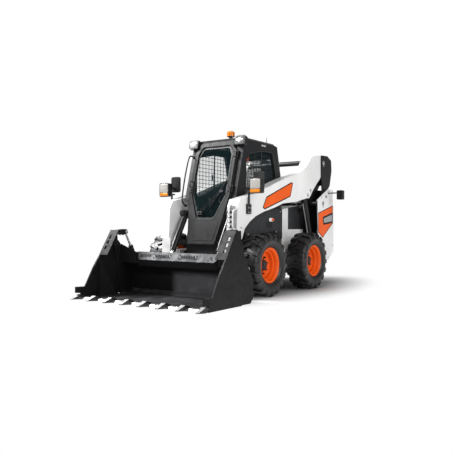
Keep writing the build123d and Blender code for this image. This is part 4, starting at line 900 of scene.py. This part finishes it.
screen = []
for k in range(13):
    u = -0.3 + 0.6 * (k + 0.5) / 13
    screen += [(bar, rear_at(u, low), rear_at(u, high), 0.0035, 6) for low, high in ((1.38, 1.64), (1.64, 1.94))]
for k in range(12):
    v = 1.38 + 0.56 * (k + 0.5) / 12
    screen.append((bar, rear_at(-0.31, v, 0.004), rear_at(0.31, v, 0.004), 0.0035, 6))
make("rear_screen", "frame", "black_paint", screen, smooth=60)

# roof: raised ribs, gutter, side marker lamps and aerial
ROOF_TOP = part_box("cab_roof")[0].z + 0.038
make("roof_ribs", "frame", "black_plastic",
     [(block, (-0.19, y - 0.016, ROOF_TOP - 0.001), (x1, y + 0.016, ROOF_TOP + 0.006)) for y, x1 in (
         (-0.24, 0.42), (-0.12, 0.42), (0.0, 0.08), (0.12, 0.42), (0.24, 0.42))], round_by=0.005, segments=3)
sweep_pair("roof_gutter_", [(0.556, 0.395, ROOF_Z + 0.006), (0.5, 0.43, ROOF_Z + 0.004),
                            (0.0, 0.432, ROOF_Z + 0.002), (-0.28, 0.43, ROOF_Z)], 0.009, "frame", "cab_paint")
make("cab_side_lamps", "frame", "lamp_glass",
     [(block, (0.02, hand * 0.4315, 2.068), (0.135, hand * 0.4415, 2.092)) for hand in (1, -1)], round_by=0.004)
make("aerial", "frame", "black_plastic", [(lathe, at(-0.235, 0.3, ROOF_TOP - 0.002), UP, (
    (0, 0.02), (0.008, 0.019), (0.014, 0.01), (0.03, 0.006), (0.075, 0.0032), (0.11, 0.0026), (0.112, 0.0)), 16)])

# roof work lamps: black bezels round bright reflectors
LAMP_Y, LAMP_S = 0.396, 1.454
outer, inner = (rect(LAMP_Y - w, LAMP_S - h, LAMP_Y + w, LAMP_S + h, r, 6)
                for w, h, r in ((0.078, 0.063, 0.03), (0.062, 0.047, 0.028)))
levels = ((outer, 0.06), (outer, 0.066), (inner, 0.0668), (inner, 0.0655))
pair("roof_lamp_bezel_", "frame", "black_plastic",
     [(loft, [[on_door(u, v, out) for u, v in ring] for ring, out in levels], False)])
pair("roof_lamp_reflectors_", "frame", "reflector", [
    (lathe, on_door(LAMP_Y, LAMP_S, 0.0652), DOOR_AIM, ((0, 0.036), (0.0022, 0.035), (0.0036, 0.024), (0.004, 0.0)),
     32), *[(lathe, on_door(LAMP_Y + d, LAMP_S, 0.0652), DOOR_AIM,
             ((0, 0.0175), (0.003, 0.0165), (0.0042, 0.009), (0.0044, 0.0)), 20) for d in (-0.04, 0.0, 0.04)]])


# ------------------ lift arms and towers
ARM_Y = 0.636
SKIN_Y = 0.7
PANEL_Y = 0.447
ARM_DECAL = [(0.433, 1.181), (0.334, 1.333), (-0.392, 1.585), (-0.445, 1.576), (-0.368, 1.368), (0.377, 1.155)]
SKIN_DECAL = [(-1.181, 1.15), (-1.745, 1.287), (-1.745, 0.985), (-1.351, 0.747), (-1.181, 0.838)]
SKIN_PANEL = [(-1.349, 1.085), (-1.745, 1.172), (-1.745, 0.994), (-1.37, 0.956)]
FILMS = (
    ("arm_decal_edge_", ARM_DECAL, 0.0, ARM_Y, 0.0008, "arms", "grey_film"),
    ("arm_decal_", ARM_DECAL, 0.016, ARM_Y, 0.0014, "arms", "orange_paint"),
    ("tower_decal_edge_", SKIN_DECAL, 0.0, SKIN_Y, 0.0008, "frame", "grey_film"),
    ("tower_decal_", SKIN_DECAL, 0.013, SKIN_Y, 0.0014, "frame", "orange_paint"),
    ("tower_decal_panel_", SKIN_PANEL, 0.0, SKIN_Y, 0.002, "frame", "grey_film"),
    ("tower_decal_blank_", SKIN_PANEL, 0.03, SKIN_Y, 0.0026, "frame", "pale_film"),
)
PINS = (
    ("arms", (-1.46, 1.97), 0.661, 0.036), ("rear_links", (-1.36, 1.3), 0.661, 0.036),
    ("frame", (-1.36, 1.3), SKIN_Y, 0.04), ("control_links", (0.258, 1.19), 0.472, 0.026),
    ("frame", (-1.3, 0.44), 0.604, 0.03), ("quick_attach", (1.14, 0.18), 0.625, 0.028),
)
# plain decal films, and the pivot pins with head, grease fitting and lock bolt
for name, line, by, y, out, body, look in FILMS:
    pair(name, body, look, [(side_plate, rounded(inset(line, by) if by else line, 0.012, 3), y, out)])
for body, (x, z), y, radius in PINS:
    pair("pin_head_%s_%d_" % (body, round(-x * 1000) % 10000), body, "zinc",
         [(pin_head, at(x, y - 0.002, z), LEFT, radius)])

# head lamps: bezel, cream lens above, amber block below, bracket bolts and mirror face
LAMP_Y0, LAMP_Y1 = 0.698, 0.846
for name, z0, z1, look, out in (("head_lens_", 1.408, 1.534, "lamp_glass", 0.01),
                                ("turn_lens_", 1.358, 1.402, "amber_lens", 0.018)):
    ring = rect(LAMP_Y0, z0, LAMP_Y1, z1, 0.014)
    levels = ((ring, 0.0), (ring, out * 0.5), (inset([tuple(p) for p in ring], 0.01), out))
    pair(name, "arms", look, [(loft, [[at(0.8435 + d, y, z) for y, z in line] for line, d in levels])])
pair("mirror_face_", "arms", "mirror", [(end_plate, rect(0.642, 1.432, 0.778, 1.632, 0.018), 0.6402, -0.002)])
pair("stalk_bolts_", "arms", "zinc", [(side_bolts, rect(0.782, 1.105, 0.836, 1.165), 0.666, 0.0075)])
BEZEL = rect(LAMP_Y0 - 0.006, 1.352, LAMP_Y1 + 0.005, 1.541, 0.018)
sweep_pair("head_lamp_bezel_", [(0.8445, y, z) for y, z in BEZEL], 0.0065, "arms", "black_plastic", cyclic=True)
sweep_pair("lamp_divider_", [(0.846, LAMP_Y0, 1.405), (0.848, (LAMP_Y0 + LAMP_Y1) / 2, 1.405),
                             (0.846, LAMP_Y1, 1.405)], 0.004, "arms", "black_plastic")
sweep_pair("lamp_lead_", [(0.8, 0.64, 1.1), (0.785, 0.646, 1.13), (0.796, 0.652, 1.2), (0.794, 0.654, 1.3),
                          (0.79, 0.66, 1.37), (0.79, 0.7, 1.392), (0.79, 0.74, 1.4)], 0.0042, "arms", "seal")

# knee block: fat couplings with dust caps, their pipes, a relief valve and a guard hoop
COUPLING_Z = [0.92 + 0.06 * k for k in range(4)]
couplings = []
for z in COUPLING_Z:
    couplings.append((lathe, at(1.112, 0.588, z), AHEAD, (
        (0, 0.019), (0.006, 0.0195), (0.007, 0.017), (0.012, 0.017), (0.013, 0.0195), (0.019, 0.0185)), 28))
    couplings.append((lathe, at(1.074, 0.5395, z), RIGHT,
                      ((0, 0.012), (0.014, 0.012), (0.015, 0.009), (0.03, 0.009)), 16))
make("couplings", "arms", "zinc", couplings)
make("coupling_caps", "arms", "black_plastic", [
    (lathe, at(1.128, 0.588, z), AHEAD, ((0, 0.0175), (0.008, 0.0175), (0.012, 0.014), (0.013, 0.0)), 24)
    for z in COUPLING_Z])
sweep("coupling_guard", [(1.06, 0.633, 0.88), (1.12, 0.633, 0.88), (1.15, 0.632, 0.905), (1.152, 0.632, 1.01),
                         (1.15, 0.632, 1.11), (1.12, 0.633, 1.14), (1.05, 0.633, 1.143)], 0.008, "arms",
      "white_paint")
make("relief_valve", "arms", "zinc", [
    (side_plate, rounded([(1.05, 1.118), (1.1, 1.118), (1.092, 1.19), (1.04, 1.215)], 0.01, 3), 0.545, 0.006),
    (block, (1.05, 0.545, 1.135), (1.078, 0.6, 1.185)),
    *[(bolt, at(1.078, 0.558 + 0.016 * k, 1.16), AHEAD, 0.005) for k in range(3)]], round_by=0.002)
for k, z in enumerate(COUPLING_Z):
    up = 0.014 * k
    sweep("coupling_pipe_%d" % k, [
        (1.074, 0.512, z), (1.074, 0.5, z), (1.064, 0.492 - 0.006 * k, z + 0.01), (1.03, 0.474, z + 0.06),
        (0.96 - 0.01 * k, 0.473, 1.165 + up), (0.7, 0.473, 1.245 + up), (0.4, 0.473, 1.335 + up),
        (0.36, 0.473, 1.345 + up)], 0.0065, "arms", "black_paint")

# lift arms: cast rings and pins at the pivots, plugs and weld beads
RINGS = ((-1.02, 1.5, 0.052), (-0.93, 1.42, 0.05))
pair("arm_pin_rings_", "arms", "white_paint", [
    (lathe, at(x, ARM_Y - 0.001, z), LEFT, ((0, r), (0.005, r * 0.97), (0.006, r * 0.7), (0.004, r * 0.66)), 36)
    for x, z, r in RINGS])
pair("arm_pins_", "arms", "zinc", [form for x, z, _ in RINGS for form in (
    (pin_head, at(x, ARM_Y + 0.002, z), LEFT, 0.026), (bolt, at(x + 0.04, ARM_Y + 0.003, z - 0.004), LEFT, 0.006))])
pair("arm_plugs_", "arms", "black_plastic", [
    (lathe, at(x, ARM_Y - 0.001, z), LEFT, ((0, 0.01), (0.003, 0.01), (0.005, 0.0)), 16)
    for x, z in ((0.965, 0.905), (0.985, 0.86), (1.01, 0.815))])
sweep_pair("arm_leg_weld_", [(0.925, 0.601, 0.762), (1.06, 0.6015, 0.7625), (1.18, 0.601, 0.762)], 0.0045, "arms",
           "white_paint")

# side panel: ribs, latch, fasteners and seam; tower flanks: bolts, tag and edge seal
PANEL_BOLTS = ((-0.405, 0.7), (-0.405, 1.15), (-0.27, 0.85), (0.5, 0.815), (0.61, 0.895), (0.35, 1.05))
PANEL_SEAM = rounded([(-0.432, 0.662), (-0.318, 0.775), (-0.25, 0.87), (0.532, 0.795), (0.64, 0.89),
                      (0.386, 1.048), (0.33, 1.12), (-0.432, 1.17)], 0.02, 3)
TOWER_BOLTS = ((-1.205, 0.6), (-1.215, 0.47), (-1.3, 1.4), (-1.72, 1.5), (-1.735, 0.62), (-1.59, 1.515),
               (-1.56, 0.42))
pair("panel_ribs_", "frame", "black_plastic", [
    (side_plate, rect(x, 0.905, x + 0.014, 1.005, 0.006, 3), PANEL_Y, 0.005)
    for x in (-0.15 + 0.03 * k for k in range(6))], round_by=0.0015)
pair("panel_bolts_", "frame", "zinc", [(side_bolts, PANEL_BOLTS, PANEL_Y, 0.009)])
pair("latch_plate_", "frame", "white_paint",
     [(side_plate, rect(-0.175, 1.0, -0.065, 1.05, 0.012), PANEL_Y, 0.007)], round_by=0.002)
pair("latch_grip_", "frame", "orange_paint",
     [(side_plate, rect(-0.188, 1.008, -0.128, 1.042, 0.01), PANEL_Y + 0.007, 0.01)], round_by=0.003)
pair("tower_bolts_", "frame", "zinc", [(side_bolts, TOWER_BOLTS, SKIN_Y - 0.0005, 0.009)])
pair("tower_tag_", "frame", "pale_film",
     [(side_plate, rect(-1.52, 1.395, -1.44, 1.445, 0.008, 3), SKIN_Y, 0.001)])
pair("chain_case_bolts_", "frame", "zinc",
     [(side_bolts, [(-0.23 + 0.058 * k, 0.575) for k in range(9)], 0.4355, 0.007)])
# bolted axle flanges outside the frame
FLANGE = ((0, 0.118), (0.008, 0.118), (0.01, 0.114), (0.01, 0.085), (0.016, 0.082), (0.016, 0.058))
for end, x in (("front", 0.65), ("rear", -0.65)):
    pair("axle_flange_%s_" % end, "frame", "black_paint", [
        (lathe, at(x, 0.5935, 0.4175), LEFT, FLANGE, 40),
        *[(bolt, at(x + p.x, 0.603, 0.4175 + p.y), LEFT, 0.006, False)
          for p in (polar(0.1, math.pi / 4 * k) for k in range(8))]])
sweep_pair("panel_seam_", [(px, PANEL_Y + 0.0005, pz) for px, pz in PANEL_SEAM], 0.003, "frame", "seal", cyclic=True)
sweep_pair("tower_edge_seal_", [(-1.1525, 0.693, 1.335), (-1.158, 0.693, 1.1), (-1.172, 0.693, 0.85),
                                (-1.24, 0.693, 0.42)], 0.008, "frame", "seal")
# cooling lines in the open space between tower and frame
for k in range(3):
    back = 0.02 * k
    sweep_pair("tower_line_%d_" % k, [
        (-0.96 - 0.03 * k, 0.47, 1.2 + back), (-1.06, 0.485, 1.175 + back), (-1.18, 0.492, 1.1),
        (-1.225 - back, 0.492, 0.9), (-1.245 - back, 0.49, 0.65), (-1.26 - back, 0.488, 0.52)], 0.01, "frame",
        "seal")

# roof beacon: gasket, lens rings and foot
BEACON_X, BEACON_Y = 0.22, -0.034
make("beacon_gasket", "frame", "seal", [
    (lathe, at(BEACON_X, BEACON_Y, 2.229), UP, ((0, 0.05), (0.002, 0.058), (0.008, 0.058), (0.011, 0.054)), 40)])
make("beacon_rings", "frame", "amber_lens", [
    (lathe, at(BEACON_X, BEACON_Y, 2.246 + 0.011 * k), UP,
     ((0, 0.0575), (0.002, 0.0592), (0.005, 0.0592), (0.007, 0.0575)), 40) for k in range(4)])
make("beacon_foot", "frame", "black_paint", [
    (block, (0.165, -0.09, 2.147), (0.275, 0.022, 2.154)),
    *[(bolt, at(BEACON_X + dx, BEACON_Y + dy, 2.154), UP, 0.006) for dx, dy in rect(-0.042, -0.042, 0.042, 0.042)],
], round_by=0.002)


# ------------------ bucket
SLOPE_TOP, SLOPE_LOW = Vector((1.45, 0.582)), Vector((1.53, 0.482))
SLOPE = (SLOPE_LOW - SLOPE_TOP).normalized()
SLOPE_OUT = Vector((-SLOPE.y, SLOPE.x))
SLOPE_AIM = Vector((SLOPE_OUT.x, 0, SLOPE_OUT.y))
SIDE_Y = 0.9962


def on_slope(y, u, out):
    """Point on the bucket's top bar: u down the slope from its upper edge."""
    p = SLOPE_TOP + SLOPE * u + SLOPE_OUT * out
    return at(p.x, y, p.y)


def slope_slab(bm, ring, out0, out1):
    """Plate on the top bar from a (y, u) outline, between two heights."""
    slab(bm, [on_slope(y, u, out0) for y, u in ring], SLOPE_AIM * (out1 - out0))


for label, (y0, y1) in (("right", (-0.385, -0.09)), ("left", (0.045, 0.33))):
    make("bar_plate_" + label, "quick_attach", "bucket",
         [(slope_slab, rect(y0, 0.03, y1, 0.098, 0.01), -0.001, 0.004)], round_by=0.0015)
    step = (y1 - y0 - 0.06) / 6
    w = step * 0.3
    grips = [(slope_slab, rect(y0 + 0.028, 0.06, y1 - 0.028, 0.068), 0.003, 0.009)]
    for k in range(6):
        y = y0 + 0.03 + step * (k + 0.5)
        grips.append((slope_slab, [(y - w - 0.004, 0.042), (y + w - 0.004, 0.042), (y + w + 0.004, 0.086),
                                   (y - w + 0.004, 0.086)], 0.003, 0.011))
    make("bar_grips_" + label, "quick_attach", "grey_film", grips, round_by=0.0015)
    make("bar_bolts_" + label, "quick_attach", "grey_film", [
        (bolt, on_slope(y, u, 0.004), SLOPE_AIM, 0.0065, False)
        for y, u in rect(y0 + 0.014, 0.042, y1 - 0.014, 0.086)])
make("bar_marks", "quick_attach", "grey_film", [
    (slope_slab, [(0.52, 0.04), (0.545, 0.036), (0.58, 0.088), (0.555, 0.092)], -0.001, 0.003),
    (slope_slab, [(-0.62, 0.04), (-0.43, 0.04), (-0.43, 0.088), (-0.602, 0.088)], -0.001, 0.0012)])

# weld beads along the bucket's seams
sweep("weld_back_floor", [(1.312, -0.96, 0.016), (1.312, 0.0, 0.0165), (1.312, 0.96, 0.016)], 0.006,
      "quick_attach", "bucket")
for name, y, radius, body, line in (
        ("weld_back_side_", 0.97, 0.006, "quick_attach",
         ((1.5, 0.015), (1.32, 0.016), (1.262, 0.07), (1.262, 0.27), (1.43, 0.56))),
        ("weld_wing_", 0.69, 0.006, "quick_attach", ((1.503, 0.57), (1.503, 0.5), (1.503, 0.44))),
        ("weld_clam_floor_", 0.994, 0.006, "clam", ((1.535, 0.016), (1.8, 0.0165), (2.11, 0.016))),
        ("weld_flange_", 0.994, 0.005, "clam", ((1.64, 0.864), (1.742, 0.702), (1.842, 0.541)))):
    sweep_pair(name, [(px, y, pz) for px, pz in line], radius, body, "bucket")
# strip on the clam that covers the joint between the two side plates, pins and nose bolts
pair("clam_side_strip_", "clam", "bucket", [
    (side_plate, [(1.56, 0.014), (1.49, 0.014), (1.545, 0.42), (1.56, 0.52), (1.555, 0.6), (1.6, 0.6), (1.625, 0.52),
                  (1.618, 0.42)], SIDE_Y, -0.004)], round_by=0.001)
for name, body, x, z in (("clam_pin_heads_", "clam", 1.5, 0.85), ("bucket_pin_heads_", "quick_attach", 1.255, 0.41)):
    pair(name, body, "zinc", [(pin_head, at(x, 0.933, z), LEFT, 0.021), (pin_head, at(x, 0.867, z), RIGHT, 0.021)])
pair("corner_bolts_", "clam", "bucket", [(bolt, at(x, SIDE_Y, 0.118), RIGHT, 0.01) for x in (2.12, 2.18, 2.235)])

# joint between the two floors, lip bolts and tooth shanks
TOOTH_Y = [(-1 + 2 * k / 7) * (1.016 - 0.031) for k in range(8)]
TOOTH_SIDE = ((2.12, 0.024), (2.215, 0.028), (2.215, 0.0615), (2.185, 0.06), (2.12, 0.04))
TOOTH_HALF = 0.024
make("floor_joint_strip", "clam", "bucket", [(block, (1.495, -0.96, 0.0125), (1.545, 0.96, 0.0165))],
     round_by=0.0015)
make("lip_bolts", "clam", "zinc", [
    (lathe, at(2.145, a + (b - a) * share, 0.0248), UP, ((0, 0.0135), (0.002, 0.013), (0.0045, 0.009), (0.005, 0.0)),
     20) for a, b in zip(TOOTH_Y, TOOTH_Y[1:]) for share in (0.25, 0.5, 0.75)])
make("tooth_shanks", "clam", "black_paint",
     [(side_plate, TOOTH_SIDE, y - TOOTH_HALF, 2 * TOOTH_HALF) for y in TOOTH_Y], round_by=0.003)
pins = []
for y in TOOTH_Y:
    pins.append((lathe, at(2.2, y, 0.06), UP, ((0, 0.007), (0.003, 0.007), (0.004, 0.005), (0.004, 0.0)), 12))
    pins += [(lathe, at(2.205, y + hand * TOOTH_HALF, 0.044), (0, hand, 0),
              ((0, 0.006), (0.004, 0.006), (0.005, 0.0)), 12) for hand in (1, -1)]
make("tooth_pins", "clam", "zinc", pins)

# ------------------ cylinders
CYLINDERS = (
    # name, barrel pin, rod pin, distance from the middle, barrel and rod radius, barrel length, body
    ("lift", (-1.3, 0.44), (-0.93, 1.42), 0.558, 0.046, 0.025, 0.985, "lift_barrels"),
    ("tilt", (0.805, 1.11), (1.2, 0.423), 0.385, 0.038, 0.02, 0.6, "tilt_barrels"),
    ("clam", (1.255, 0.41), (1.5, 0.85), 0.9, 0.03, 0.016, 0.285, "clam_barrels"),
)
for name, base, end, mid_y, barrel, rod, length, body in CYLINDERS:
    way = (Vector(end) - Vector(base)).normalized()
    aim = Vector((way.x, 0, way.y))
    over = Vector((-way.y, 0, way.x)) * (1 if name == "tilt" else -1)
    nose = ((0.034, rod + 0.01), (0.04, rod + 0.008), (0.042, rod + 0.0015), (0.033, rod + 0.0015))
    collar = ((0, barrel - 0.003), (0, barrel + 0.0005), (0.002, barrel + 0.004), (0.03, barrel + 0.004),
              (0.034, barrel - 0.002), *(() if name == "clam" else nose), (0.033, barrel - 0.003))
    band = ((0, barrel - 0.002), (0.001, barrel + 0.0025), (0.011, barrel + 0.0025), (0.012, barrel - 0.002))
    foot = at(base[0], mid_y, base[1])
    low, high = foot + aim * 0.095, foot + aim * (length - 0.07)
    clear, sunk = over * (barrel + 0.009), over * (barrel - 0.002)
    pair("gland_%s_" % name, body, "black_paint", [
        (lathe, foot + aim * (length - 0.043), aim, collar, 36, True),
        *[(lathe, foot + aim * (0.12 + (length - 0.2) * k / 2), aim, band, 36, True) for k in range(3)]])
    sweep_pair("pipe_%s_" % name, [low + sunk, low + clear, low + clear + aim * 0.03, high + clear - aim * 0.03,
                                   high + clear, high + sunk], 0.006, body, "zinc")
    pair("ports_%s_" % name, body, "zinc", [
        (lathe, spot + over * (barrel - 0.004), over, ((0, 0.011), (0.01, 0.011), (0.011, 0.009)), 6)
        for spot in (low, high)])


# ------------------ back of the machine
def hood_z(x):
    """Height of the rear hood's sloping top."""
    return 1.318 + (1.5 - 1.318) * (x + 1.112) / (-1.7 + 1.112)


wires, blades = [], []
for y0 in (-0.53, 0.07):
    wires += [(bar, at(-1.77, y0 + 0.02 * k, 0.78), at(-1.77, y0 + 0.02 * k, 1.18), 0.0022, 6)
              for k in range(24)]
    wires += [(bar, at(-1.767, y0, 0.79 + 0.0225 * k), at(-1.767, y0 + 0.46, 0.79 + 0.0225 * k), 0.0022, 6)
              for k in range(18)]
make("tail_screen", "tailgate", "black_paint", wires, smooth=60)
for y0 in (-0.3, 0.3):
    for k in range(6):
        z = 0.98 + 0.062 * (k - 2.5)
        blades.append((slab, [at(x, y0 + w, z + up) for x, w, up in (
            (-1.7985, -0.218, 0.013), (-1.7985, 0.218, 0.013), (-1.78, 0.218, 0.026), (-1.78, -0.218, 0.026))],
            (0, 0, -0.003)))
make("tail_louvre_blades", "tailgate", "black_paint", blades)
cup = rect(0.56, 0.9, 0.65, 1.01, 0.016)
make("tail_latch_cup", "tailgate", "black_plastic", [
    (end_plate, cup, -1.7995, -0.0004), (end_plate, inset([tuple(p) for p in cup], 0.012), -1.7995, 0.01)])
make("tail_rivets", "tailgate", "zinc", [
    (lathe, at(-1.7988, y, z), AFT, ((0, 0.006), (0.001, 0.005)), 12)
    for z in (0.6, 1.2) for y in (-0.66, 0.64)])
make("hood_screen", "rear_hood", "black_paint", [
    (bar, at(x, -0.275, hood_z(x) - 0.03), at(x, 0.275, hood_z(x) - 0.03), 0.002, 6)
    for x in (-1.64 + 0.012 * k for k in range(30))], smooth=60)
make("hood_buttons", "rear_hood", "black_plastic", [
    (lathe, at(x, hand * 0.375, z), (-0.3, 0, 0.954), ((0, 0.02), (0.004, 0.019), (0.006, 0.014), (0.0065, 0.0)),
     24) for hand in (1, -1) for x, z in ((-1.56, 1.456), (-1.2, 1.3445))])
make("bumper_bolts", "frame", "zinc",
     [(bolt, at(-1.7695, y, 0.465), AFT, 0.01) for y in (-0.35, -0.2, 0.2, 0.35)])
REAR_LENSES = (
    # name, outline, x of its foot, depth, look, rounding
    ("tail_lens_", rect(0.508, 1.395, 0.632, 1.472, 0.008, 3), -1.7798, -0.006, "red", 0.002),
    ("reverse_lens_", rect(0.508, 1.348, 0.632, 1.388, 0.008, 3), -1.7798, -0.005, "lamp_glass", 0.002),
    ("marker_lens_front_", rect(0.878, 1.38, 0.962, 1.51, 0.01, 3), -1.51, 0.004, "grey_lens", 0.0015),
    ("marker_lens_rear_", rect(0.878, 1.38, 0.962, 1.51, 0.01, 3), -1.59, -0.004, "red", 0.0015),
)
for name, ring, x, depth, look, round_by in REAR_LENSES:
    pair(name, "frame", look, [(end_plate, ring, x, depth)], round_by=round_by)
pair("marker_bolts_", "frame", "zinc", [(side_bolts, ((-1.575, 1.5), (-1.525, 1.5)), 0.7005, 0.006)])

# engine bay seen from below and behind: filter and pulley
make("engine_fittings", "frame", "cast", [
    (lathe, at(-0.98, -0.31, 0.5), UP, ((0, 0.05), (0.01, 0.055), (0.2, 0.055), (0.215, 0.045)), 28),
    (lathe, at(-1.1, 0.12, 0.62), AFT, ((0, 0.09), (0.012, 0.095), (0.02, 0.08), (0.032, 0.08),
                                                   (0.04, 0.095), (0.052, 0.09)), 36)])

# ------------------ inside the cab
SEAT_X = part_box("seat_base")[0].x + ORIGIN_X + 0.28
SEAT_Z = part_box("seat_base")[0].z
LEVER_X, LEVER_Y = 0.33, 0.33
pair("lever_grip_", "frame", "black_plastic", [
    (lathe, at(LEVER_X, LEVER_Y, SEAT_Z + 0.44), UP, (
        (0, 0.0145), (0.004, 0.022), (0.02, 0.024), (0.06, 0.021), (0.1, 0.024), (0.118, 0.025), (0.126, 0.018),
        (0.128, 0.0)), 28),
    *[(lathe, at(LEVER_X, LEVER_Y, SEAT_Z + 0.33 + 0.026 * k), UP,
       [(up, r - 0.003 * k) for up, r in ((0, 0.03), (0.01, 0.034), (0.02, 0.028), (0.026, 0.027))], 28)
      for k in range(4)],
    (lathe, at(0.342, 0.322, SEAT_Z + 0.568), (0.5, 0, 1), ((0, 0.006), (0.004, 0.006), (0.006, 0.0)), 12)])
pair("armrest_", "frame", "black_plastic", [
    (block, (0.02, 0.26, 1.04), (0.29, 0.345, 1.072)), (block, (0.06, 0.29, 0.8), (0.12, 0.32, 1.042))],
    round_by=0.01, segments=3)
pair("switch_panel_", "frame", "black_plastic", [
    (block, (0.47, 0.3, 2.01), (0.54, 0.392, 2.062)),
    *[(block, (0.464, y, 2.024), (0.471, y + 0.018, 2.044)) for y in (0.312, 0.338, 0.364)]], round_by=0.006)
pair("seat_rail_", "frame", "black_paint", [
    (block, (SEAT_X - 0.2, 0.222, SEAT_Z + 0.03), (SEAT_X + 0.2, 0.236, SEAT_Z + 0.075)),
    (side_bolts, ((SEAT_X - 0.15, SEAT_Z + 0.052), (SEAT_X + 0.15, SEAT_Z + 0.052)), 0.236, 0.008)], round_by=0.002)
make("belt_reminder", "frame", "orange_paint", [(block, (0.33, 0.29, 1.84), (0.38, 0.352, 1.905))],
     round_by=0.01)
LAP_HALF = [(-0.06, 0.25, 1.48), (0.1, 0.255, 1.42), (0.23, 0.24, 1.3), (0.262, 0.18, 1.262)]
sweep("lap_bar", [*LAP_HALF, (0.265, 0.0, 1.255), *[(x, -y, z) for x, y, z in reversed(LAP_HALF)]], 0.013, "frame",
      "black_paint")
pedals = []
for hand in (1, -1):
    pedals.append((slab, [at(x, hand * y, z) for x, y, z in (
        (0.56, 0.08, 0.64), (0.64, 0.08, 0.76), (0.64, 0.18, 0.76), (0.56, 0.18, 0.64))],
        (-0.01, 0, 0.007)))
    for t in (0.1, 0.3, 0.5, 0.7, 0.9):
        pedals.append((bar, *[at(0.56 + 0.08 * t, hand * y, 0.64 + 0.12 * t) for y in (0.088, 0.172)], 0.004, 8))
make("pedals", "frame", "black_plastic", pedals, round_by=0.002)
sweep("seat_belt", [(SEAT_X - 0.12, 0.238, SEAT_Z + 0.17), (SEAT_X - 0.1, 0.236, SEAT_Z + 0.27),
                    (SEAT_X - 0.06, 0.19, SEAT_Z + 0.288), (SEAT_X - 0.02, 0.1, SEAT_Z + 0.286)], 0.007,
      "frame", "seal")
make("belt_buckle", "frame", "red",
     [(block, (SEAT_X - 0.06, 0.048, SEAT_Z + 0.272), (SEAT_X + 0.01, 0.098, SEAT_Z + 0.294))], round_by=0.005)


# ------------------ seat upholstery
SWELL = 0.008
CLOTH_FRAMES = 20


def evaluated(obj):
    """A new mesh with the object's modifiers worked in."""
    graph = bpy.context.evaluated_depsgraph_get()
    return bpy.data.meshes.new_from_object(obj.evaluated_get(graph), depsgraph=graph)


def upholstery(node, name):
    """Foam and cover of a seat: the plain form remeshed, blown up a little as cloth, and smoothed."""
    source = bpy.data.objects[node]
    obj = show(name, source.data.copy())
    obj.matrix_world = source.matrix_world
    obj.data.materials.clear()
    middle = sum(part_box(node), Vector()) / 2
    shrink = Matrix.Translation(middle) @ Matrix.Scale(0.975, 4) @ Matrix.Translation(-middle)
    obj.data.transform(obj.matrix_world.inverted() @ shrink @ obj.matrix_world)
    remesh = obj.modifiers.new("remesh", "REMESH")
    remesh.mode = "VOXEL"
    remesh.voxel_size = 0.007
    bpy.context.view_layer.update()
    grid = evaluated(obj)
    obj.modifiers.clear()
    obj.data = grid
    cover = obj.modifiers.new("cover", "CLOTH")
    cover.settings.quality = 4
    cover.settings.use_pressure = True
    cover.settings.uniform_pressure_force = 4.0
    cover.settings.tension_stiffness = 25
    cover.settings.compression_stiffness = 25
    cover.settings.effector_weights.gravity = 0
    cover.collision_settings.use_collision = False
    cover.point_cache.frame_start = 1
    cover.point_cache.frame_end = CLOTH_FRAMES
    for step in range(1, CLOTH_FRAMES + 1):
        scene.frame_set(step)
    puffed = evaluated(obj)
    obj.modifiers.clear()
    scene.frame_set(1)
    for v, rest in zip(puffed.vertices, grid.vertices):
        way = v.co - rest.co
        if way.length > SWELL:
            v.co = rest.co + way.normalized() * SWELL
    obj.data = puffed
    smooth = obj.modifiers.new("smooth", "SUBSURF")
    smooth.levels = 1
    smooth.render_levels = 1
    for face in obj.data.polygons:
        face.use_smooth = True
    ride(obj, "frame", "seat_fabric")
    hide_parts(node)


upholstery("seat_cushion", "seat_upholstery")
PIPING = rect(SEAT_X - 0.175, -0.215, SEAT_X + 0.232, 0.215, 0.06, 5)
sweep("seat_piping", [(x, y, SEAT_Z + 0.262) for x, y in PIPING], 0.004, "frame", "seat_fabric", cyclic=True)
for k, y in enumerate((-0.11, 0.11)):
    for name, line in (("seat_seam_", ((-0.06, 0.268), (0.09, 0.268), (0.225, 0.266))),
                       ("back_seam_", ((-0.098, 0.33), (-0.125, 0.52), (-0.152, 0.74)))):
        sweep("%s%d" % (name, k), [(SEAT_X + px, y, SEAT_Z + pz) for px, pz in line], 0.0022, "frame", "seat_fabric")
